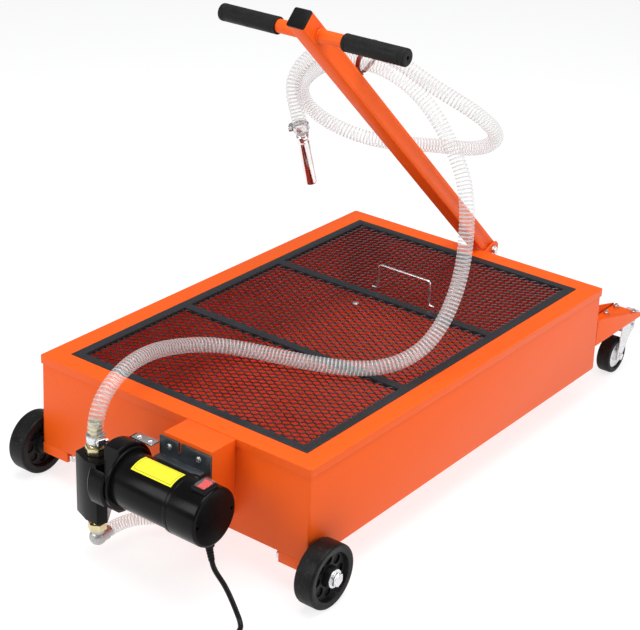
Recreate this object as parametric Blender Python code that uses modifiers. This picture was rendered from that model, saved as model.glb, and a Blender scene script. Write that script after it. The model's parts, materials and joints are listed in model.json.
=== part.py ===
"""Rolling parts-washer tank: a shallow pan on four wheels, with a drop-in mesh screen, a pump and motor on
its front wall, a delivery hose with a nozzle, and a folding pull handle.

Metres, +Z up. X runs across the tank, -Y is the pump end and +Y the handle end. Every size and place below is
measured from the middle of the tank's underside; the datum empty lifts that point to its height above the
floor and centres the machine's footprint on the origin.
"""
import math

import bmesh
import bpy
import numpy as np
from mathutils import Matrix, Vector

GAP = 0.0003                   # space left between pieces that touch

# Tank, rim and screen
WIDTH = 0.551
LENGTH = 0.850
DEPTH = 0.159
SHEET = 0.002
RIM_WIDE = 0.035               # flat flange around the opening
SKIRT = 0.014                  # fold that hangs down outside the wall
SEAT = 0.010                   # ledge that the screen rests on
SEAT_DROP = 0.0075
CORNER = 0.004
SCREEN_BAR = 0.016
SCREEN_THICK = 0.008
MESH_CELL = (0.150, 0.080)     # across and along: a coarse stand-in for the fine expanded metal
MESH_WIRE = 0.0016
BAIL = (-0.025, 0.083, 0.153, 0.045)   # left leg, right leg, Y, height above the mesh
BAIL_WIRE = 0.002
SUMP = Vector((0.015, -0.360, 0.0))
SUMP_HOSE_Z = -0.033

# Height of the tank's underside above the floor, and the middle of the footprint
CLEARANCE = 0.0642
FOOTPRINT_MID_Y = 0.0234

# Handle
LEAN = math.radians(43.23)     # above the horizontal, towards the pump end
PIVOT = Vector((0.0, 0.4600, 0.1497))
POST_HALF = 0.0165
POST_WALL = 0.002
POST_TOP = 0.8102              # along the post from the pivot
BAR_AT = 0.768
BAR_RADIUS = 0.011
BAR_HALF = 0.1745
GRIP_RADIUS = 0.0142
GRIP_SPAN = (0.0635, 0.1785)
CLIP_AT = 0.6325
CLIP_X = 0.012

# Wheels
FRONT_WHEEL = Vector((0.2974, -0.4135, -0.0117))
FRONT_RADIUS = 0.0525
FRONT_HALF = 0.017
AXLE_BOX_X = (0.2200, 0.2745)   # inner and outer end of the axle's box under the tank
AXLE_BOX_Y = (-0.4242, -0.3990)
AXLE_BOX_HIGH = 0.0190
CASTOR_SWIVEL = Vector((0.2435, 0.5753, 0.0))
CASTOR_TRAIL = 0.022
CASTOR_RADIUS = 0.0355
CASTOR_HALF = 0.013
FORK_TOP = 0.0305
PLATE_MIDDLE = 0.241            # the castor plates sit a little inside their swivels
CASTOR_STUDS = ((-0.0185, -0.0195), (0.0185, -0.0195), (-0.0185, 0.0195), (0.0185, 0.0195))

# Pump and motor: one axis along X
MOTOR_Y = -0.530
MOTOR_Z = 0.0925
BARREL_RADIUS = 0.0435
CAP_RADIUS = 0.0465
CAP_SPAN = (0.125, 0.186)
PORT = Vector((-0.049, MOTOR_Y, 0.0))
HEAD_END = 0.0165               # where the round head meets the motor's flange
HEAD_FLAT = -0.5480             # the head is cut flat in front
NUT_LOW = -0.0220               # underside of the inlet's nut
GEAR_SPACING = 0.0222
GEAR_RADIUS = 0.0104
GEAR_TOOTH = 0.0011
GEAR_TEETH = 10
SWITCH = Vector((0.170, -0.534, 0.1400))
SWITCH_TILT = math.radians(10)

# Hoses and the power cord
HOSE_RADIUS = 0.0125
SUCTION_RADIUS = 0.011
CORD_RADIUS = 0.004
COIL_CENTRE = Vector((0.305, -0.628, 0.0))
COIL_INNER = 0.032
COIL_OUTER = 0.0562
COIL_HIGH = 0.0164
NOZZLE_TOP = Vector((-0.1110, 0.0286, 0.4572))
NOZZLE_TIP = Vector((-0.105, 0.0520, 0.3655))

DELIVERY_ROUTE = [
    (-0.049, -0.530, 0.1275), (-0.0485, -0.530, 0.157), (-0.050, -0.515, 0.191), (-0.056, -0.466, 0.219),
    (-0.068, -0.396, 0.219), (-0.078, -0.323, 0.201), (-0.060, -0.257, 0.186), (-0.007, -0.214, 0.177),
    (0.062, -0.196, 0.178), (0.126, -0.169, 0.177), (0.185, -0.130, 0.182), (0.222, -0.075, 0.206),
    (0.235, -0.028, 0.256), (0.234, 0.006, 0.318), (0.226, 0.024, 0.386), (0.210, 0.031, 0.455),
    (0.180, 0.030, 0.511), (0.138, 0.027, 0.562), (0.076, 0.020, 0.601), (0.004, 0.022, 0.607),
    (-0.063, 0.034, 0.588), (-0.117, 0.060, 0.556), (-0.164, 0.095, 0.516), (-0.189, 0.138, 0.469),
    (-0.174, 0.187, 0.424), (-0.120, 0.224, 0.399), (-0.050, 0.234, 0.402), (0.023, 0.233, 0.416),
    (0.091, 0.225, 0.430), (0.150, 0.199, 0.458), (0.183, 0.156, 0.500), (0.166, 0.113, 0.540),
    (0.111, 0.080, 0.576), (0.050, 0.059, 0.610), (-0.020, 0.038, 0.626), (-0.084, 0.019, 0.601),
    (-0.119, 0.012, 0.542), (-0.1138, 0.0195, 0.492), (-0.1112, 0.0282, 0.4586),
]
SUCTION_ROUTE = [
    (-0.048, -0.5045, -0.036), (-0.0475, -0.485, -0.036), (-0.038, -0.456, -0.036), (-0.016, -0.433, -0.035),
    (0.005, -0.414, -0.034), (0.0145, -0.394, -0.033), (0.015, -0.3768, -0.033),
]
CORD_ROUTE = [
    (0.1814, -0.530, 0.0181), (0.1837, -0.530, 0.0110), (0.1900, -0.530, 0.0020), (0.2020, -0.530, -0.0090),
    (0.2185, -0.531, -0.0280), (0.2325, -0.533, -0.0470), (0.2430, -0.5375, -0.0575), (0.2495, -0.5450, -0.0600),
    (0.2530, -0.5600, -0.0600), (0.2530, -0.5800, -0.0600), (0.2530, -0.5970, -0.0600),
]

X_AXIS = Vector((1, 0, 0))
Y_AXIS = Vector((0, 1, 0))
Z_AXIS = Vector((0, 0, 1))


# ---------------------------------------------------------------- scene and helpers

for old in list(bpy.data.objects):
    bpy.data.objects.remove(old, do_unlink=True)

parts = bpy.data.collections.new("parts_washer_tank")
cutters = bpy.data.collections.new("cutters")
cutters.hide_render = True
for group in (parts, cutters):
    bpy.context.scene.collection.children.link(group)

datum = bpy.data.objects.new("datum", None)
datum.location = (0, -FOOTPRINT_MID_Y, CLEARANCE)
parts.objects.link(datum)


def material(name, colour, roughness, metallic=0.0, alpha=1.0):
    made = bpy.data.materials.new(name)
    made.use_nodes = True
    shader = made.node_tree.nodes["Principled BSDF"]
    shader.inputs["Base Color"].default_value = (*colour, 1)
    shader.inputs["Roughness"].default_value = roughness
    shader.inputs["Metallic"].default_value = metallic
    shader.inputs["Alpha"].default_value = alpha
    return made


ORANGE = material("orange_powder_coat", (0.83, 0.13, 0.02), 0.40)
DARK_STEEL = material("dark_screen_steel", (0.045, 0.050, 0.058), 0.45, 0.6)
BLACK_PAINT = material("black_motor_paint", (0.010, 0.010, 0.011), 0.35)
BLACK_PLASTIC = material("black_plastic", (0.012, 0.012, 0.013), 0.50)
BLACK_RUBBER = material("black_rubber", (0.015, 0.015, 0.016), 0.75)
ZINC = material("zinc_plate", (0.60, 0.61, 0.62), 0.30, 1.0)
CHROME = material("chrome", (0.80, 0.80, 0.80), 0.08, 1.0)
BRASS = material("brass", (0.75, 0.55, 0.22), 0.28, 1.0)
CAST_GREY = material("cast_grey", (0.42, 0.42, 0.42), 0.45, 0.8)
COPPER = material("copper_and_iron", (0.35, 0.20, 0.12), 0.45, 0.7)
CLEAR_HOSE = material("clear_hose", (0.80, 0.80, 0.80), 0.15, 0.0, 0.35)
RED_PLASTIC = material("red_plastic", (0.60, 0.02, 0.02), 0.30)
CLIP_RED = material("dark_red_plastic", (0.16, 0.02, 0.015), 0.45)
LIGHT_GREY = material("light_grey_plastic", (0.60, 0.60, 0.60), 0.50)


def new_object(name, data, frame=None):
    """A solid in the parts collection, built in the given frame, which hangs on the datum."""
    obj = bpy.data.objects.new(name, data)
    parts.objects.link(obj)
    obj.matrix_basis = frame or Matrix()
    obj.parent = datum
    return obj


def from_bmesh(name, bm, frame=None):
    mesh = bpy.data.meshes.new(name)
    bmesh.ops.recalc_face_normals(bm, faces=bm.faces)
    bm.to_mesh(mesh)
    bm.free()
    return new_object(name, mesh, frame)


def axis_frame(origin, direction):
    """Frame at origin whose local Z points along direction."""
    turn = Vector(direction).to_track_quat("Z", "Y").to_matrix().to_4x4()
    return Matrix.Translation(origin) @ turn


def box(name, low, high, radius=0.0, along=2, segments=2, frame=None):
    """A box between two corners; radius rounds the four edges that run along one axis."""
    low = Vector(low)
    high = Vector(high)
    bm = bmesh.new()
    bmesh.ops.create_cube(bm, size=1.0)
    size = high - low
    bmesh.ops.scale(bm, vec=size, verts=bm.verts)
    bmesh.ops.translate(bm, vec=(low + high) / 2, verts=bm.verts)
    if radius:
        edges = [e for e in bm.edges if abs((e.verts[0].co - e.verts[1].co)[along]) > 0.5 * size[along]]
        bmesh.ops.bevel(bm, geom=edges, offset=radius, segments=segments, affect="EDGES", profile=0.5)
    return from_bmesh(name, bm, frame)


def cylinder(name, start, end, radius, sides=16, end_radius=None, frame=None):
    """A round, six-sided or tapered bar from start to end."""
    start = Vector(start)
    end = Vector(end)
    bm = bmesh.new()
    far = radius if end_radius is None else end_radius
    bmesh.ops.create_cone(bm, cap_ends=True, segments=sides, radius1=radius, radius2=far,
                          depth=(end - start).length)
    bmesh.ops.transform(bm, matrix=axis_frame((start + end) / 2, end - start), verts=bm.verts)
    return from_bmesh(name, bm, frame)


def turned(name, profile, frame, steps=24):
    """Turns (radius, height) points about the frame's Z; they run down the outer side."""
    mesh = bpy.data.meshes.new(name)
    edges = [(i, i + 1) for i in range(len(profile) - 1)]
    if profile[0][0] > 0:
        edges.append((len(profile) - 1, 0))
    mesh.from_pydata([(r, 0, h) for r, h in profile], edges, [])
    obj = new_object(name, mesh, frame)
    screw = obj.modifiers.new("Turn", "SCREW")
    screw.axis = "Z"
    screw.angle = math.tau
    screw.steps = steps
    screw.render_steps = steps
    screw.use_merge_vertices = True
    screw.merge_threshold = 0.00001
    return obj


def as_mesh(curve_object, weld=0.00001):
    """Swaps a curve object for a closed mesh of the same name and place."""
    graph = bpy.context.evaluated_depsgraph_get()
    mesh = bpy.data.meshes.new_from_object(curve_object.evaluated_get(graph))
    bm = bmesh.new()
    bm.from_mesh(mesh)
    bmesh.ops.remove_doubles(bm, verts=bm.verts, dist=weld)
    bmesh.ops.recalc_face_normals(bm, faces=bm.faces)
    bm.to_mesh(mesh)
    bm.free()
    name = curve_object.name
    frame = curve_object.matrix_basis.copy()
    bpy.data.objects.remove(curve_object, do_unlink=True)
    return new_object(name, mesh, frame)


def tube(name, points, radius, resolution=2):
    """A round bar along points, with filled ends."""
    curve = bpy.data.curves.new(name, "CURVE")
    curve.dimensions = "3D"
    curve.bevel_depth = radius
    curve.bevel_resolution = resolution
    curve.use_fill_caps = True
    spline = curve.splines.new("POLY")
    spline.points.add(len(points) - 1)
    for point, place in zip(spline.points, points):
        point.co = (*place, 1)
    return new_object(name, curve)


def plate(name, outline, thickness, frame):
    """A flat outline in the frame's XY plane, thickened equally to both sides."""
    curve = bpy.data.curves.new(name, "CURVE")
    curve.dimensions = "2D"
    curve.fill_mode = "BOTH"
    curve.extrude = thickness / 2
    spline = curve.splines.new("POLY")
    spline.points.add(len(outline) - 1)
    spline.use_cyclic_u = True
    for point, (x, y) in zip(spline.points, outline):
        point.co = (x, y, 0, 1)
    return as_mesh(new_object(name, curve, frame))


def as_tool(obj):
    parts.objects.unlink(obj)
    cutters.objects.link(obj)
    obj.hide_render = True
    obj.display_type = "WIRE"
    return obj


def boolean(target, tools, operation):
    for tool in tools:
        as_tool(tool)
        tool.parent = target
        tool.matrix_parent_inverse = target.matrix_basis.inverted()
        step = target.modifiers.new(operation.title(), "BOOLEAN")
        step.operation = operation
        step.solver = "EXACT"
        step.object = tool
    return target


def cut(target, *tools):
    return boolean(target, tools, "DIFFERENCE")


def join(target, *tools):
    return boolean(target, tools, "UNION")


def finish(obj, look, smooth=False):
    obj.data.materials.clear()
    obj.data.materials.append(look)
    if smooth and obj.type == "MESH":
        obj.data.shade_smooth()
        obj.data.set_sharp_from_angle(angle=math.radians(35))
    return obj


def joint(name, place, parent=None):
    """An empty on a joint's axis; place is measured like everything else."""
    empty = bpy.data.objects.new(name, None)
    parts.objects.link(empty)
    empty.location = place
    empty.parent = parent or datum
    if parent:
        empty.matrix_parent_inverse = Matrix.Translation(-parent.location)
    return empty


def hang(empty, *objects):
    for obj in objects:
        obj.parent = empty
        obj.matrix_parent_inverse = Matrix.Translation(-empty.location)


def smooth_route(points, spacing):
    """Evenly spaced points on the natural cubic spline through the route's points."""
    route = np.array(points, dtype=float)
    run = np.concatenate(([0.0], np.cumsum(np.linalg.norm(np.diff(route, axis=0), axis=1))))
    step = np.diff(run)
    slope = np.diff(route, axis=0) / step[:, None]
    count = len(route)
    system = np.eye(count)
    right = np.zeros_like(route)
    for i in range(1, count - 1):
        system[i, i - 1:i + 2] = step[i - 1], 2 * (step[i - 1] + step[i]), step[i]
        right[i] = 6 * (slope[i] - slope[i - 1])
    bend = np.linalg.solve(system, right)
    found = []
    for at in np.linspace(0.0, run[-1], round(run[-1] / spacing) + 1):
        i = min(int(np.searchsorted(run, at, side="right")) - 1, count - 2)
        a = (run[i + 1] - at) / step[i]
        b = (at - run[i]) / step[i]
        place = a * route[i] + b * route[i + 1]
        place = place + ((a ** 3 - a) * bend[i] + (b ** 3 - b) * bend[i + 1]) * step[i] ** 2 / 6
        found.append(tuple(place))
    return found


def arc(centre, radius, start, end, count):
    """Points on an arc in a plane, angles in degrees."""
    turns = np.radians(np.linspace(start, end, count))
    return [(centre[0] + radius * math.cos(t), centre[1] + radius * math.sin(t)) for t in turns]


# ---------------------------------------------------------------- tank and screen

def make_tank():
    """The pan: an open box of sheet with rounded upright edges, set inside the rim's skirt."""
    half_x = WIDTH / 2 - SHEET - GAP
    half_y = LENGTH / 2 - SHEET - GAP
    top = DEPTH - SHEET - GAP
    shell = box("tank_shell", (-half_x, -half_y, 0), (half_x, half_y, top), CORNER)
    inside = (half_x - SHEET, half_y - SHEET)
    hollow = box("tank_hollow", (-inside[0], -inside[1], SHEET), (inside[0], inside[1], DEPTH + 0.05),
                 CORNER - SHEET)
    drain = cylinder("sump_hole", SUMP - Z_AXIS * 0.01, SUMP + Z_AXIS * 0.01, 0.0105)
    cut(shell, hollow, drain)
    finish(shell, ORANGE)


def make_rim():
    """The folded frame around the opening: skirt, flat flange, inner lip and the screen's seat."""
    half_x = WIDTH / 2
    half_y = LENGTH / 2
    lip_x = half_x - RIM_WIDE
    lip_y = half_y - RIM_WIDE
    seat_top = DEPTH - SEAT_DROP
    seat_low = seat_top - SHEET
    rim = box("rim_frame", (-half_x, -half_y, DEPTH - SKIRT), (half_x, half_y, DEPTH), CORNER)
    opening = box("rim_opening", (-lip_x + SEAT, -lip_y + SEAT, 0.1), (lip_x - SEAT, lip_y - SEAT, 0.2))
    pocket = box("rim_pocket", (-lip_x, -lip_y, seat_top), (lip_x, lip_y, 0.2))
    wide_x = half_x - SHEET
    wide_y = half_y - SHEET
    channel = box("rim_channel", (-wide_x, -wide_y, 0.1), (wide_x, wide_y, DEPTH - SHEET), CORNER - SHEET)
    keep = box("rim_lip", (-lip_x - SHEET, -lip_y - SHEET, seat_low), (lip_x + SHEET, lip_y + SHEET, 0.2))
    cut(channel, keep)
    cut(rim, opening, pocket, channel)
    finish(rim, ORANGE)


def make_screen():
    """The lift-out screen: a welded frame with two cross bars, three mesh panels and a wire lifting bail."""
    half_x = WIDTH / 2 - RIM_WIDE - 0.0005
    half_y = LENGTH / 2 - RIM_WIDE - 0.0005
    low = DEPTH - SEAT_DROP + GAP
    high = low + SCREEN_THICK
    lift = joint("screen_lift", (0, 0, low))
    frame = box("screen_frame", (-half_x, -half_y, low), (half_x, half_y, high))
    bay_edge = half_y - SCREEN_BAR
    pitch = (2 * bay_edge + SCREEN_BAR) / 3
    bay = pitch - SCREEN_BAR
    in_x = half_x - SCREEN_BAR
    mesh_z = low + SCREEN_THICK / 2
    for i, place in enumerate(("front", "middle", "rear")):
        start = -bay_edge + i * pitch
        window = box("bay_" + place, (-in_x, start, 0.1), (in_x, start + bay, 0.2))
        cut(frame, window)
        panel = make_mesh("screen_mesh_" + place, in_x - GAP, start + GAP, start + bay - GAP, mesh_z)
        hang(lift, panel)
    left, right, bail_y, tall = BAIL
    foot = mesh_z + MESH_WIRE + BAIL_WIRE
    bend = 0.006
    wire = [(left - 0.012, bail_y, foot), (left - bend / 2, bail_y, foot), (left, bail_y, foot + bend / 2),
            (left, bail_y, foot + tall - bend), (left + bend * 0.3, bail_y, foot + tall - bend * 0.3),
            (left + bend, bail_y, foot + tall), (right - bend, bail_y, foot + tall),
            (right - bend * 0.3, bail_y, foot + tall - bend * 0.3), (right, bail_y, foot + tall - bend),
            (right, bail_y, foot + bend / 2), (right + bend / 2, bail_y, foot), (right + 0.012, bail_y, foot)]
    bail = tube("screen_bail", wire, BAIL_WIRE)
    finish(bail, ZINC)
    finish(frame, DARK_STEEL)
    hang(lift, frame, bail)


def make_mesh(name, half_x, y_low, y_high, z):
    """A diamond lattice of flat wire, trimmed to its bay."""
    inset = MESH_WIRE * 0.6
    bm = bmesh.new()
    bmesh.ops.create_grid(bm, x_segments=16, y_segments=16, size=8 / math.sqrt(2))
    bmesh.ops.rotate(bm, cent=(0, 0, 0), matrix=Matrix.Rotation(math.radians(45), 3, "Z"), verts=bm.verts)
    bmesh.ops.scale(bm, vec=(MESH_CELL[0], MESH_CELL[1], 1), verts=bm.verts)
    bmesh.ops.translate(bm, vec=(0, (y_low + y_high) / 2, z), verts=bm.verts)
    sides = (((half_x - inset, 0, 0), X_AXIS), ((inset - half_x, 0, 0), -X_AXIS),
             ((0, y_high - inset, 0), Y_AXIS), ((0, y_low + inset, 0), -Y_AXIS))
    for point, outward in sides:
        geometry = bm.verts[:] + bm.edges[:] + bm.faces[:]
        bmesh.ops.bisect_plane(bm, geom=geometry, plane_co=point, plane_no=outward, clear_outer=True)
    bmesh.ops.remove_doubles(bm, verts=bm.verts, dist=0.004)
    panel = from_bmesh(name, bm)
    wire = panel.modifiers.new("Wire", "WIREFRAME")
    wire.thickness = MESH_WIRE
    wire.use_boundary = True
    wire.use_even_offset = False
    wire.use_replace = True
    finish(panel, DARK_STEEL)
    return panel


def make_sump():
    """The drain: an elbow under the floor, its neck through the hole, and a slotted strainer nut inside."""
    down = Vector((SUMP.x, SUMP.y, SUMP_HOSE_Z))
    elbow = cylinder("sump_elbow", down - Z_AXIS * 0.011, SUMP + Z_AXIS * 0.012, 0.010)
    flange = cylinder("sump_flange", SUMP - Z_AXIS * 0.0045, SUMP - Z_AXIS * GAP, 0.017)
    barb = cylinder("sump_barb", down, down - Y_AXIS * 0.0157, 0.0085)
    finish(join(elbow, flange, barb), BRASS, smooth=True)
    base = SHEET + GAP
    profile = [(0, 0.034), (0.013, 0.034), (0.017, 0.030), (0.017, base), (0.0104, base), (0.0104, 0.0125),
               (0.0142, 0.0135), (0.0142, 0.029), (0.012, 0.031), (0, 0.031)]
    strainer = turned("sump_strainer", profile, Matrix.Translation((SUMP.x, SUMP.y, 0)), 16)
    slots = [box("slot_%d" % i, (SUMP.x - wide, SUMP.y - deep, 0.016), (SUMP.x + wide, SUMP.y + deep, 0.027))
             for i, (wide, deep) in enumerate(((0.03, 0.002), (0.002, 0.03)))]
    finish(cut(strainer, *slots), BRASS, smooth=True)


# ---------------------------------------------------------------- handle

def make_handle():
    """The folding pull handle: a square tube on a bolt behind the tank, a cross bar and two grips."""
    across = Vector((0, math.sin(LEAN), math.cos(LEAN)))
    up = Vector((0, -math.cos(LEAN), math.sin(LEAN)))
    lean = Matrix((X_AXIS, across, up)).transposed().to_4x4()
    frame = Matrix.Translation(PIVOT) @ lean
    fold = joint("handle_fold", PIVOT)
    half = POST_HALF
    post = box("handle_post", (-half, -half, 0), (half, half, POST_TOP), 0.003, 2, 2, frame)
    foot = cylinder("post_foot", (-half, 0, 0), (half, 0, 0), half, 16, frame=frame)
    join(post, foot)
    inner = half - POST_WALL
    bore = box("post_bore", (-inner, -inner, -0.03), (inner, inner, POST_TOP + 0.01), frame=frame)
    bolt_way = cylinder("post_bolt_way", (-0.03, 0, 0), (0.03, 0, 0), 0.0045, frame=frame)
    bar_way = cylinder("post_bar_way", (-0.03, 0, BAR_AT), (0.03, 0, BAR_AT), BAR_RADIUS + GAP, 20, frame=frame)
    finish(cut(post, bore, bolt_way, bar_way), ORANGE)

    cap = box("post_cap", (-half, -half, POST_TOP + GAP), (half, half, POST_TOP + 0.0038), 0.003, 2, 2, frame)
    plug = inner - GAP
    stem = box("cap_stem", (-plug, -plug, POST_TOP - 0.012), (plug, plug, POST_TOP + 0.001), frame=frame)
    finish(join(cap, stem), BLACK_PLASTIC)

    bar_frame = frame @ Matrix.Translation((0, 0, BAR_AT)) @ axis_frame((0, 0, 0), X_AXIS)
    wall = BAR_RADIUS - 0.0018
    bar = turned("cross_bar", [(BAR_RADIUS, BAR_HALF), (BAR_RADIUS, -BAR_HALF), (wall, -BAR_HALF),
                               (wall, BAR_HALF)], bar_frame, 24)
    finish(bar, ORANGE, smooth=True)
    hang(fold, post, cap, bar)
    for side, word in ((1, "right"), (-1, "left")):
        flip = bar_frame if side > 0 else bar_frame @ Matrix.Rotation(math.pi, 4, "X")
        start, end = GRIP_SPAN
        bore_radius = BAR_RADIUS + GAP
        outside = [(0.0030, end), (GRIP_RADIUS - 0.0025, end), (GRIP_RADIUS - 0.0006, end - 0.0010),
                   (GRIP_RADIUS, end - 0.003), (GRIP_RADIUS, start + 0.002), (GRIP_RADIUS - 0.001, start)]
        inside = [(bore_radius, start), (bore_radius, BAR_HALF + GAP), (0.0030, BAR_HALF + GAP)]
        grip = turned("grip_" + word, outside + inside, flip, 16)
        finish(grip, BLACK_RUBBER, smooth=True)
        hang(fold, grip)
    hang(fold, make_clip(frame), *make_nozzle())
    make_hinge()


def make_clip(frame):
    """The plastic clip behind the post that holds the two strands of the hose, one behind the other."""
    near = (0.0332, CLIP_AT)
    far = (0.0611, CLIP_AT - 0.0085)
    far_extra = 0.0012             # the far strand runs through at more of a slant
    inner = HOSE_RADIUS + 0.0020
    outer = inner + 0.0016
    tilt = math.degrees(math.atan2(far[1] - near[1], far[0] - near[0]))
    flat = frame @ Matrix.Translation((CLIP_X, 0, 0)) @ Matrix.Rotation(math.radians(90), 4, "Y")
    flat = flat @ Matrix.Rotation(math.radians(90), 4, "Z")

    def ring(radius):
        near_side = arc(near, radius, tilt + 90, tilt + 270, 9)
        return near_side + arc(far, radius + far_extra, tilt - 90, tilt + 90, 9)

    band = plate("hose_clip", ring(outer), 0.008, flat)
    cut(band, plate("clip_hollow", ring(inner), 0.02, flat))
    foot_low = (CLIP_X - 0.0085, POST_HALF + GAP, CLIP_AT - 0.011)
    foot_high = (CLIP_X + 0.0040, POST_HALF + GAP + 0.0018, CLIP_AT + 0.011)
    join(band, box("clip_foot", foot_low, foot_high, frame=frame))
    return finish(band, CLIP_RED)


def make_nozzle():
    """The chrome nozzle that hangs on the hose's end, and the clamp that holds the hose to it."""
    down = (NOZZLE_TIP - NOZZLE_TOP).normalized()
    reach = (NOZZLE_TIP - NOZZLE_TOP).length
    profile = [(0, reach - 0.020), (0.0080, reach - 0.020), (0.0080, reach), (0.0090, reach),
               (0.0102, reach - 0.002), (0.0102, 0.016), (0.0094, 0.014), (0.0094, 0.010), (0.0108, 0.008),
               (0.0108, 0.004), (0.0088, 0.002), (0.0088, 0), (0, 0)]
    nozzle = turned("nozzle", profile, axis_frame(NOZZLE_TOP, down), 16)
    finish(nozzle, CHROME, smooth=True)
    clamp = clamp_ring("nozzle_clamp", NOZZLE_TOP - down * 0.013, down, 0.009, Vector((-1, -0.6, 0)))
    return nozzle, clamp


def clamp_ring(name, middle, direction, wide, screw_side):
    """A worm-drive clamp: a band round the hose with its screw housing on one side."""
    inner = HOSE_RADIUS + 0.0012
    outer = inner + 0.0014
    frame = axis_frame(middle, direction)
    band = turned(name, [(outer, wide / 2), (outer, -wide / 2), (inner, -wide / 2), (inner, wide / 2)], frame, 24)
    axis = Vector(direction).normalized()
    out = (screw_side - axis * screw_side.dot(axis)).normalized()
    side = axis.cross(out)
    centre = Vector(middle) + out * (outer + 0.0026)
    turn = Matrix((side, out, axis)).transposed().to_4x4()
    housing_frame = Matrix.Translation(centre) @ turn
    housing = box(name + "_housing", (-0.007, -0.0034, -wide / 2), (0.007, 0.0034, wide / 2), 0.002, 0,
                  frame=housing_frame)
    screw = cylinder(name + "_screw", (0.006, 0, 0), (0.012, 0, 0), 0.0034, 6, frame=housing_frame)
    return finish(join(band, housing, screw), ZINC, smooth=True)


def make_hinge():
    """The hinge bracket welded behind the back wall, and its bolt."""
    wall = LENGTH / 2 + GAP
    side_plane = Matrix(((0, 0, 1), (1, 0, 0), (0, 1, 0))).to_4x4()
    cheek = [(wall, 0.120), (0.456, 0.126), (0.4765, 0.140), (0.4765, 0.158), (0.470, 0.1645), (0.452, 0.1635),
             (0.436, 0.1565), (wall, 0.1545)]
    web = box("handle_bracket", (-0.0215, wall, 0.120), (0.0215, wall + 0.0025, 0.1545))
    for side in (-1, 1):
        frame = Matrix.Translation((side * 0.0200, 0, 0)) @ side_plane
        join(web, plate("cheek_%d" % side, cheek, 0.003, frame))
    hole = cylinder("bracket_hole", PIVOT - X_AXIS * 0.04, PIVOT + X_AXIS * 0.04, 0.0043)
    finish(cut(web, hole), ORANGE)
    bolt = cylinder("handle_bolt", PIVOT - X_AXIS * 0.0300, PIVOT + X_AXIS * 0.0235, 0.004, 12)
    washer = cylinder("bolt_washer", PIVOT + X_AXIS * 0.0218, PIVOT + X_AXIS * 0.0233, 0.0085, 14)
    head = cylinder("bolt_head", PIVOT + X_AXIS * 0.0230, PIVOT + X_AXIS * 0.0285, 0.0075, 6)
    nut = cylinder("bolt_nut", PIVOT - X_AXIS * 0.0283, PIVOT - X_AXIS * 0.0218, 0.0075, 6)
    finish(join(bolt, washer, head, nut), ZINC)


# ---------------------------------------------------------------- front wheels

def make_front_wheel(side, word):
    """One fixed wheel: its bracket under the tank, the bolt that is its axle, and the wheel."""
    centre = Vector((side * FRONT_WHEEL.x, FRONT_WHEEL.y, FRONT_WHEEL.z))
    low_x, high_x = sorted((side * AXLE_BOX_X[0], side * AXLE_BOX_X[1]))
    low_y, high_y = AXLE_BOX_Y
    bracket = box("axle_bracket_" + word, (low_x, low_y, -AXLE_BOX_HIGH), (high_x, high_y, -GAP))
    hollow = box("axle_hollow_" + word, (low_x + SHEET, low_y + SHEET, SHEET - AXLE_BOX_HIGH),
                 (high_x - SHEET, high_y - SHEET, 0.01))
    way = cylinder("axle_way_" + word, (side * 0.20, *centre.yz), (side * 0.29, *centre.yz), 0.0053)
    finish(cut(bracket, hollow, way), ORANGE)

    def bar(name, start, end, radius, sides):
        return cylinder(name, (side * start, *centre.yz), (side * end, *centre.yz), radius, sides)

    axle = bar("front_axle_" + word, 0.2115, 0.3190, 0.005, 12)
    nut = bar("axle_nut_" + word, 0.2137, 0.2197, 0.0088, 6)
    collar = bar("axle_collar_" + word, 0.2748, 0.2793, 0.0085, 12)
    washer = bar("axle_washer_" + word, 0.3158, 0.3184, 0.0148, 16)
    head = bar("axle_head_" + word, 0.3180, 0.3250, 0.0118, 6)
    finish(join(axle, nut, collar, washer, head), ZINC)

    half = FRONT_HALF
    radius = FRONT_RADIUS
    face = [(radius, half - 0.0032), (radius - 0.0012, half - 0.0008), (radius - 0.0035, half),
            (0.0400, half - 0.0008), (0.0372, 0.0080), (0.0172, 0.0080), (0.0160, half + 0.0008),
            (0.0054, half + 0.0008)]
    profile = face[::-1] + [(r, -h) for r, h in face]
    wheel = turned("front_wheel_" + word, profile, axis_frame(centre, X_AXIS), 22)
    pockets = ring_of_pins("wheel_pockets_" + word, centre, X_AXIS, 0.0272, 0.0078, 8, 0.005, 0.05, side)
    finish(cut(wheel, pockets), BLACK_RUBBER, smooth=True)
    hang(joint("front_wheel_spin_" + word, centre), wheel)


def ring_of_pins(name, centre, axis, ring, radius, count, near, far, side):
    """Round pins set in a ring about an axis, all in one cutter."""
    bm = bmesh.new()
    frame = axis_frame(centre, axis)
    for i in range(count):
        turn = math.tau * i / count
        place = Vector((ring * math.cos(turn), ring * math.sin(turn), side * (near + far) / 2))
        bmesh.ops.create_cone(bm, cap_ends=True, segments=10, radius1=radius, radius2=radius, depth=far - near,
                              matrix=frame @ Matrix.Translation(place))
    return from_bmesh(name, bm)


# ---------------------------------------------------------------- castors

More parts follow.
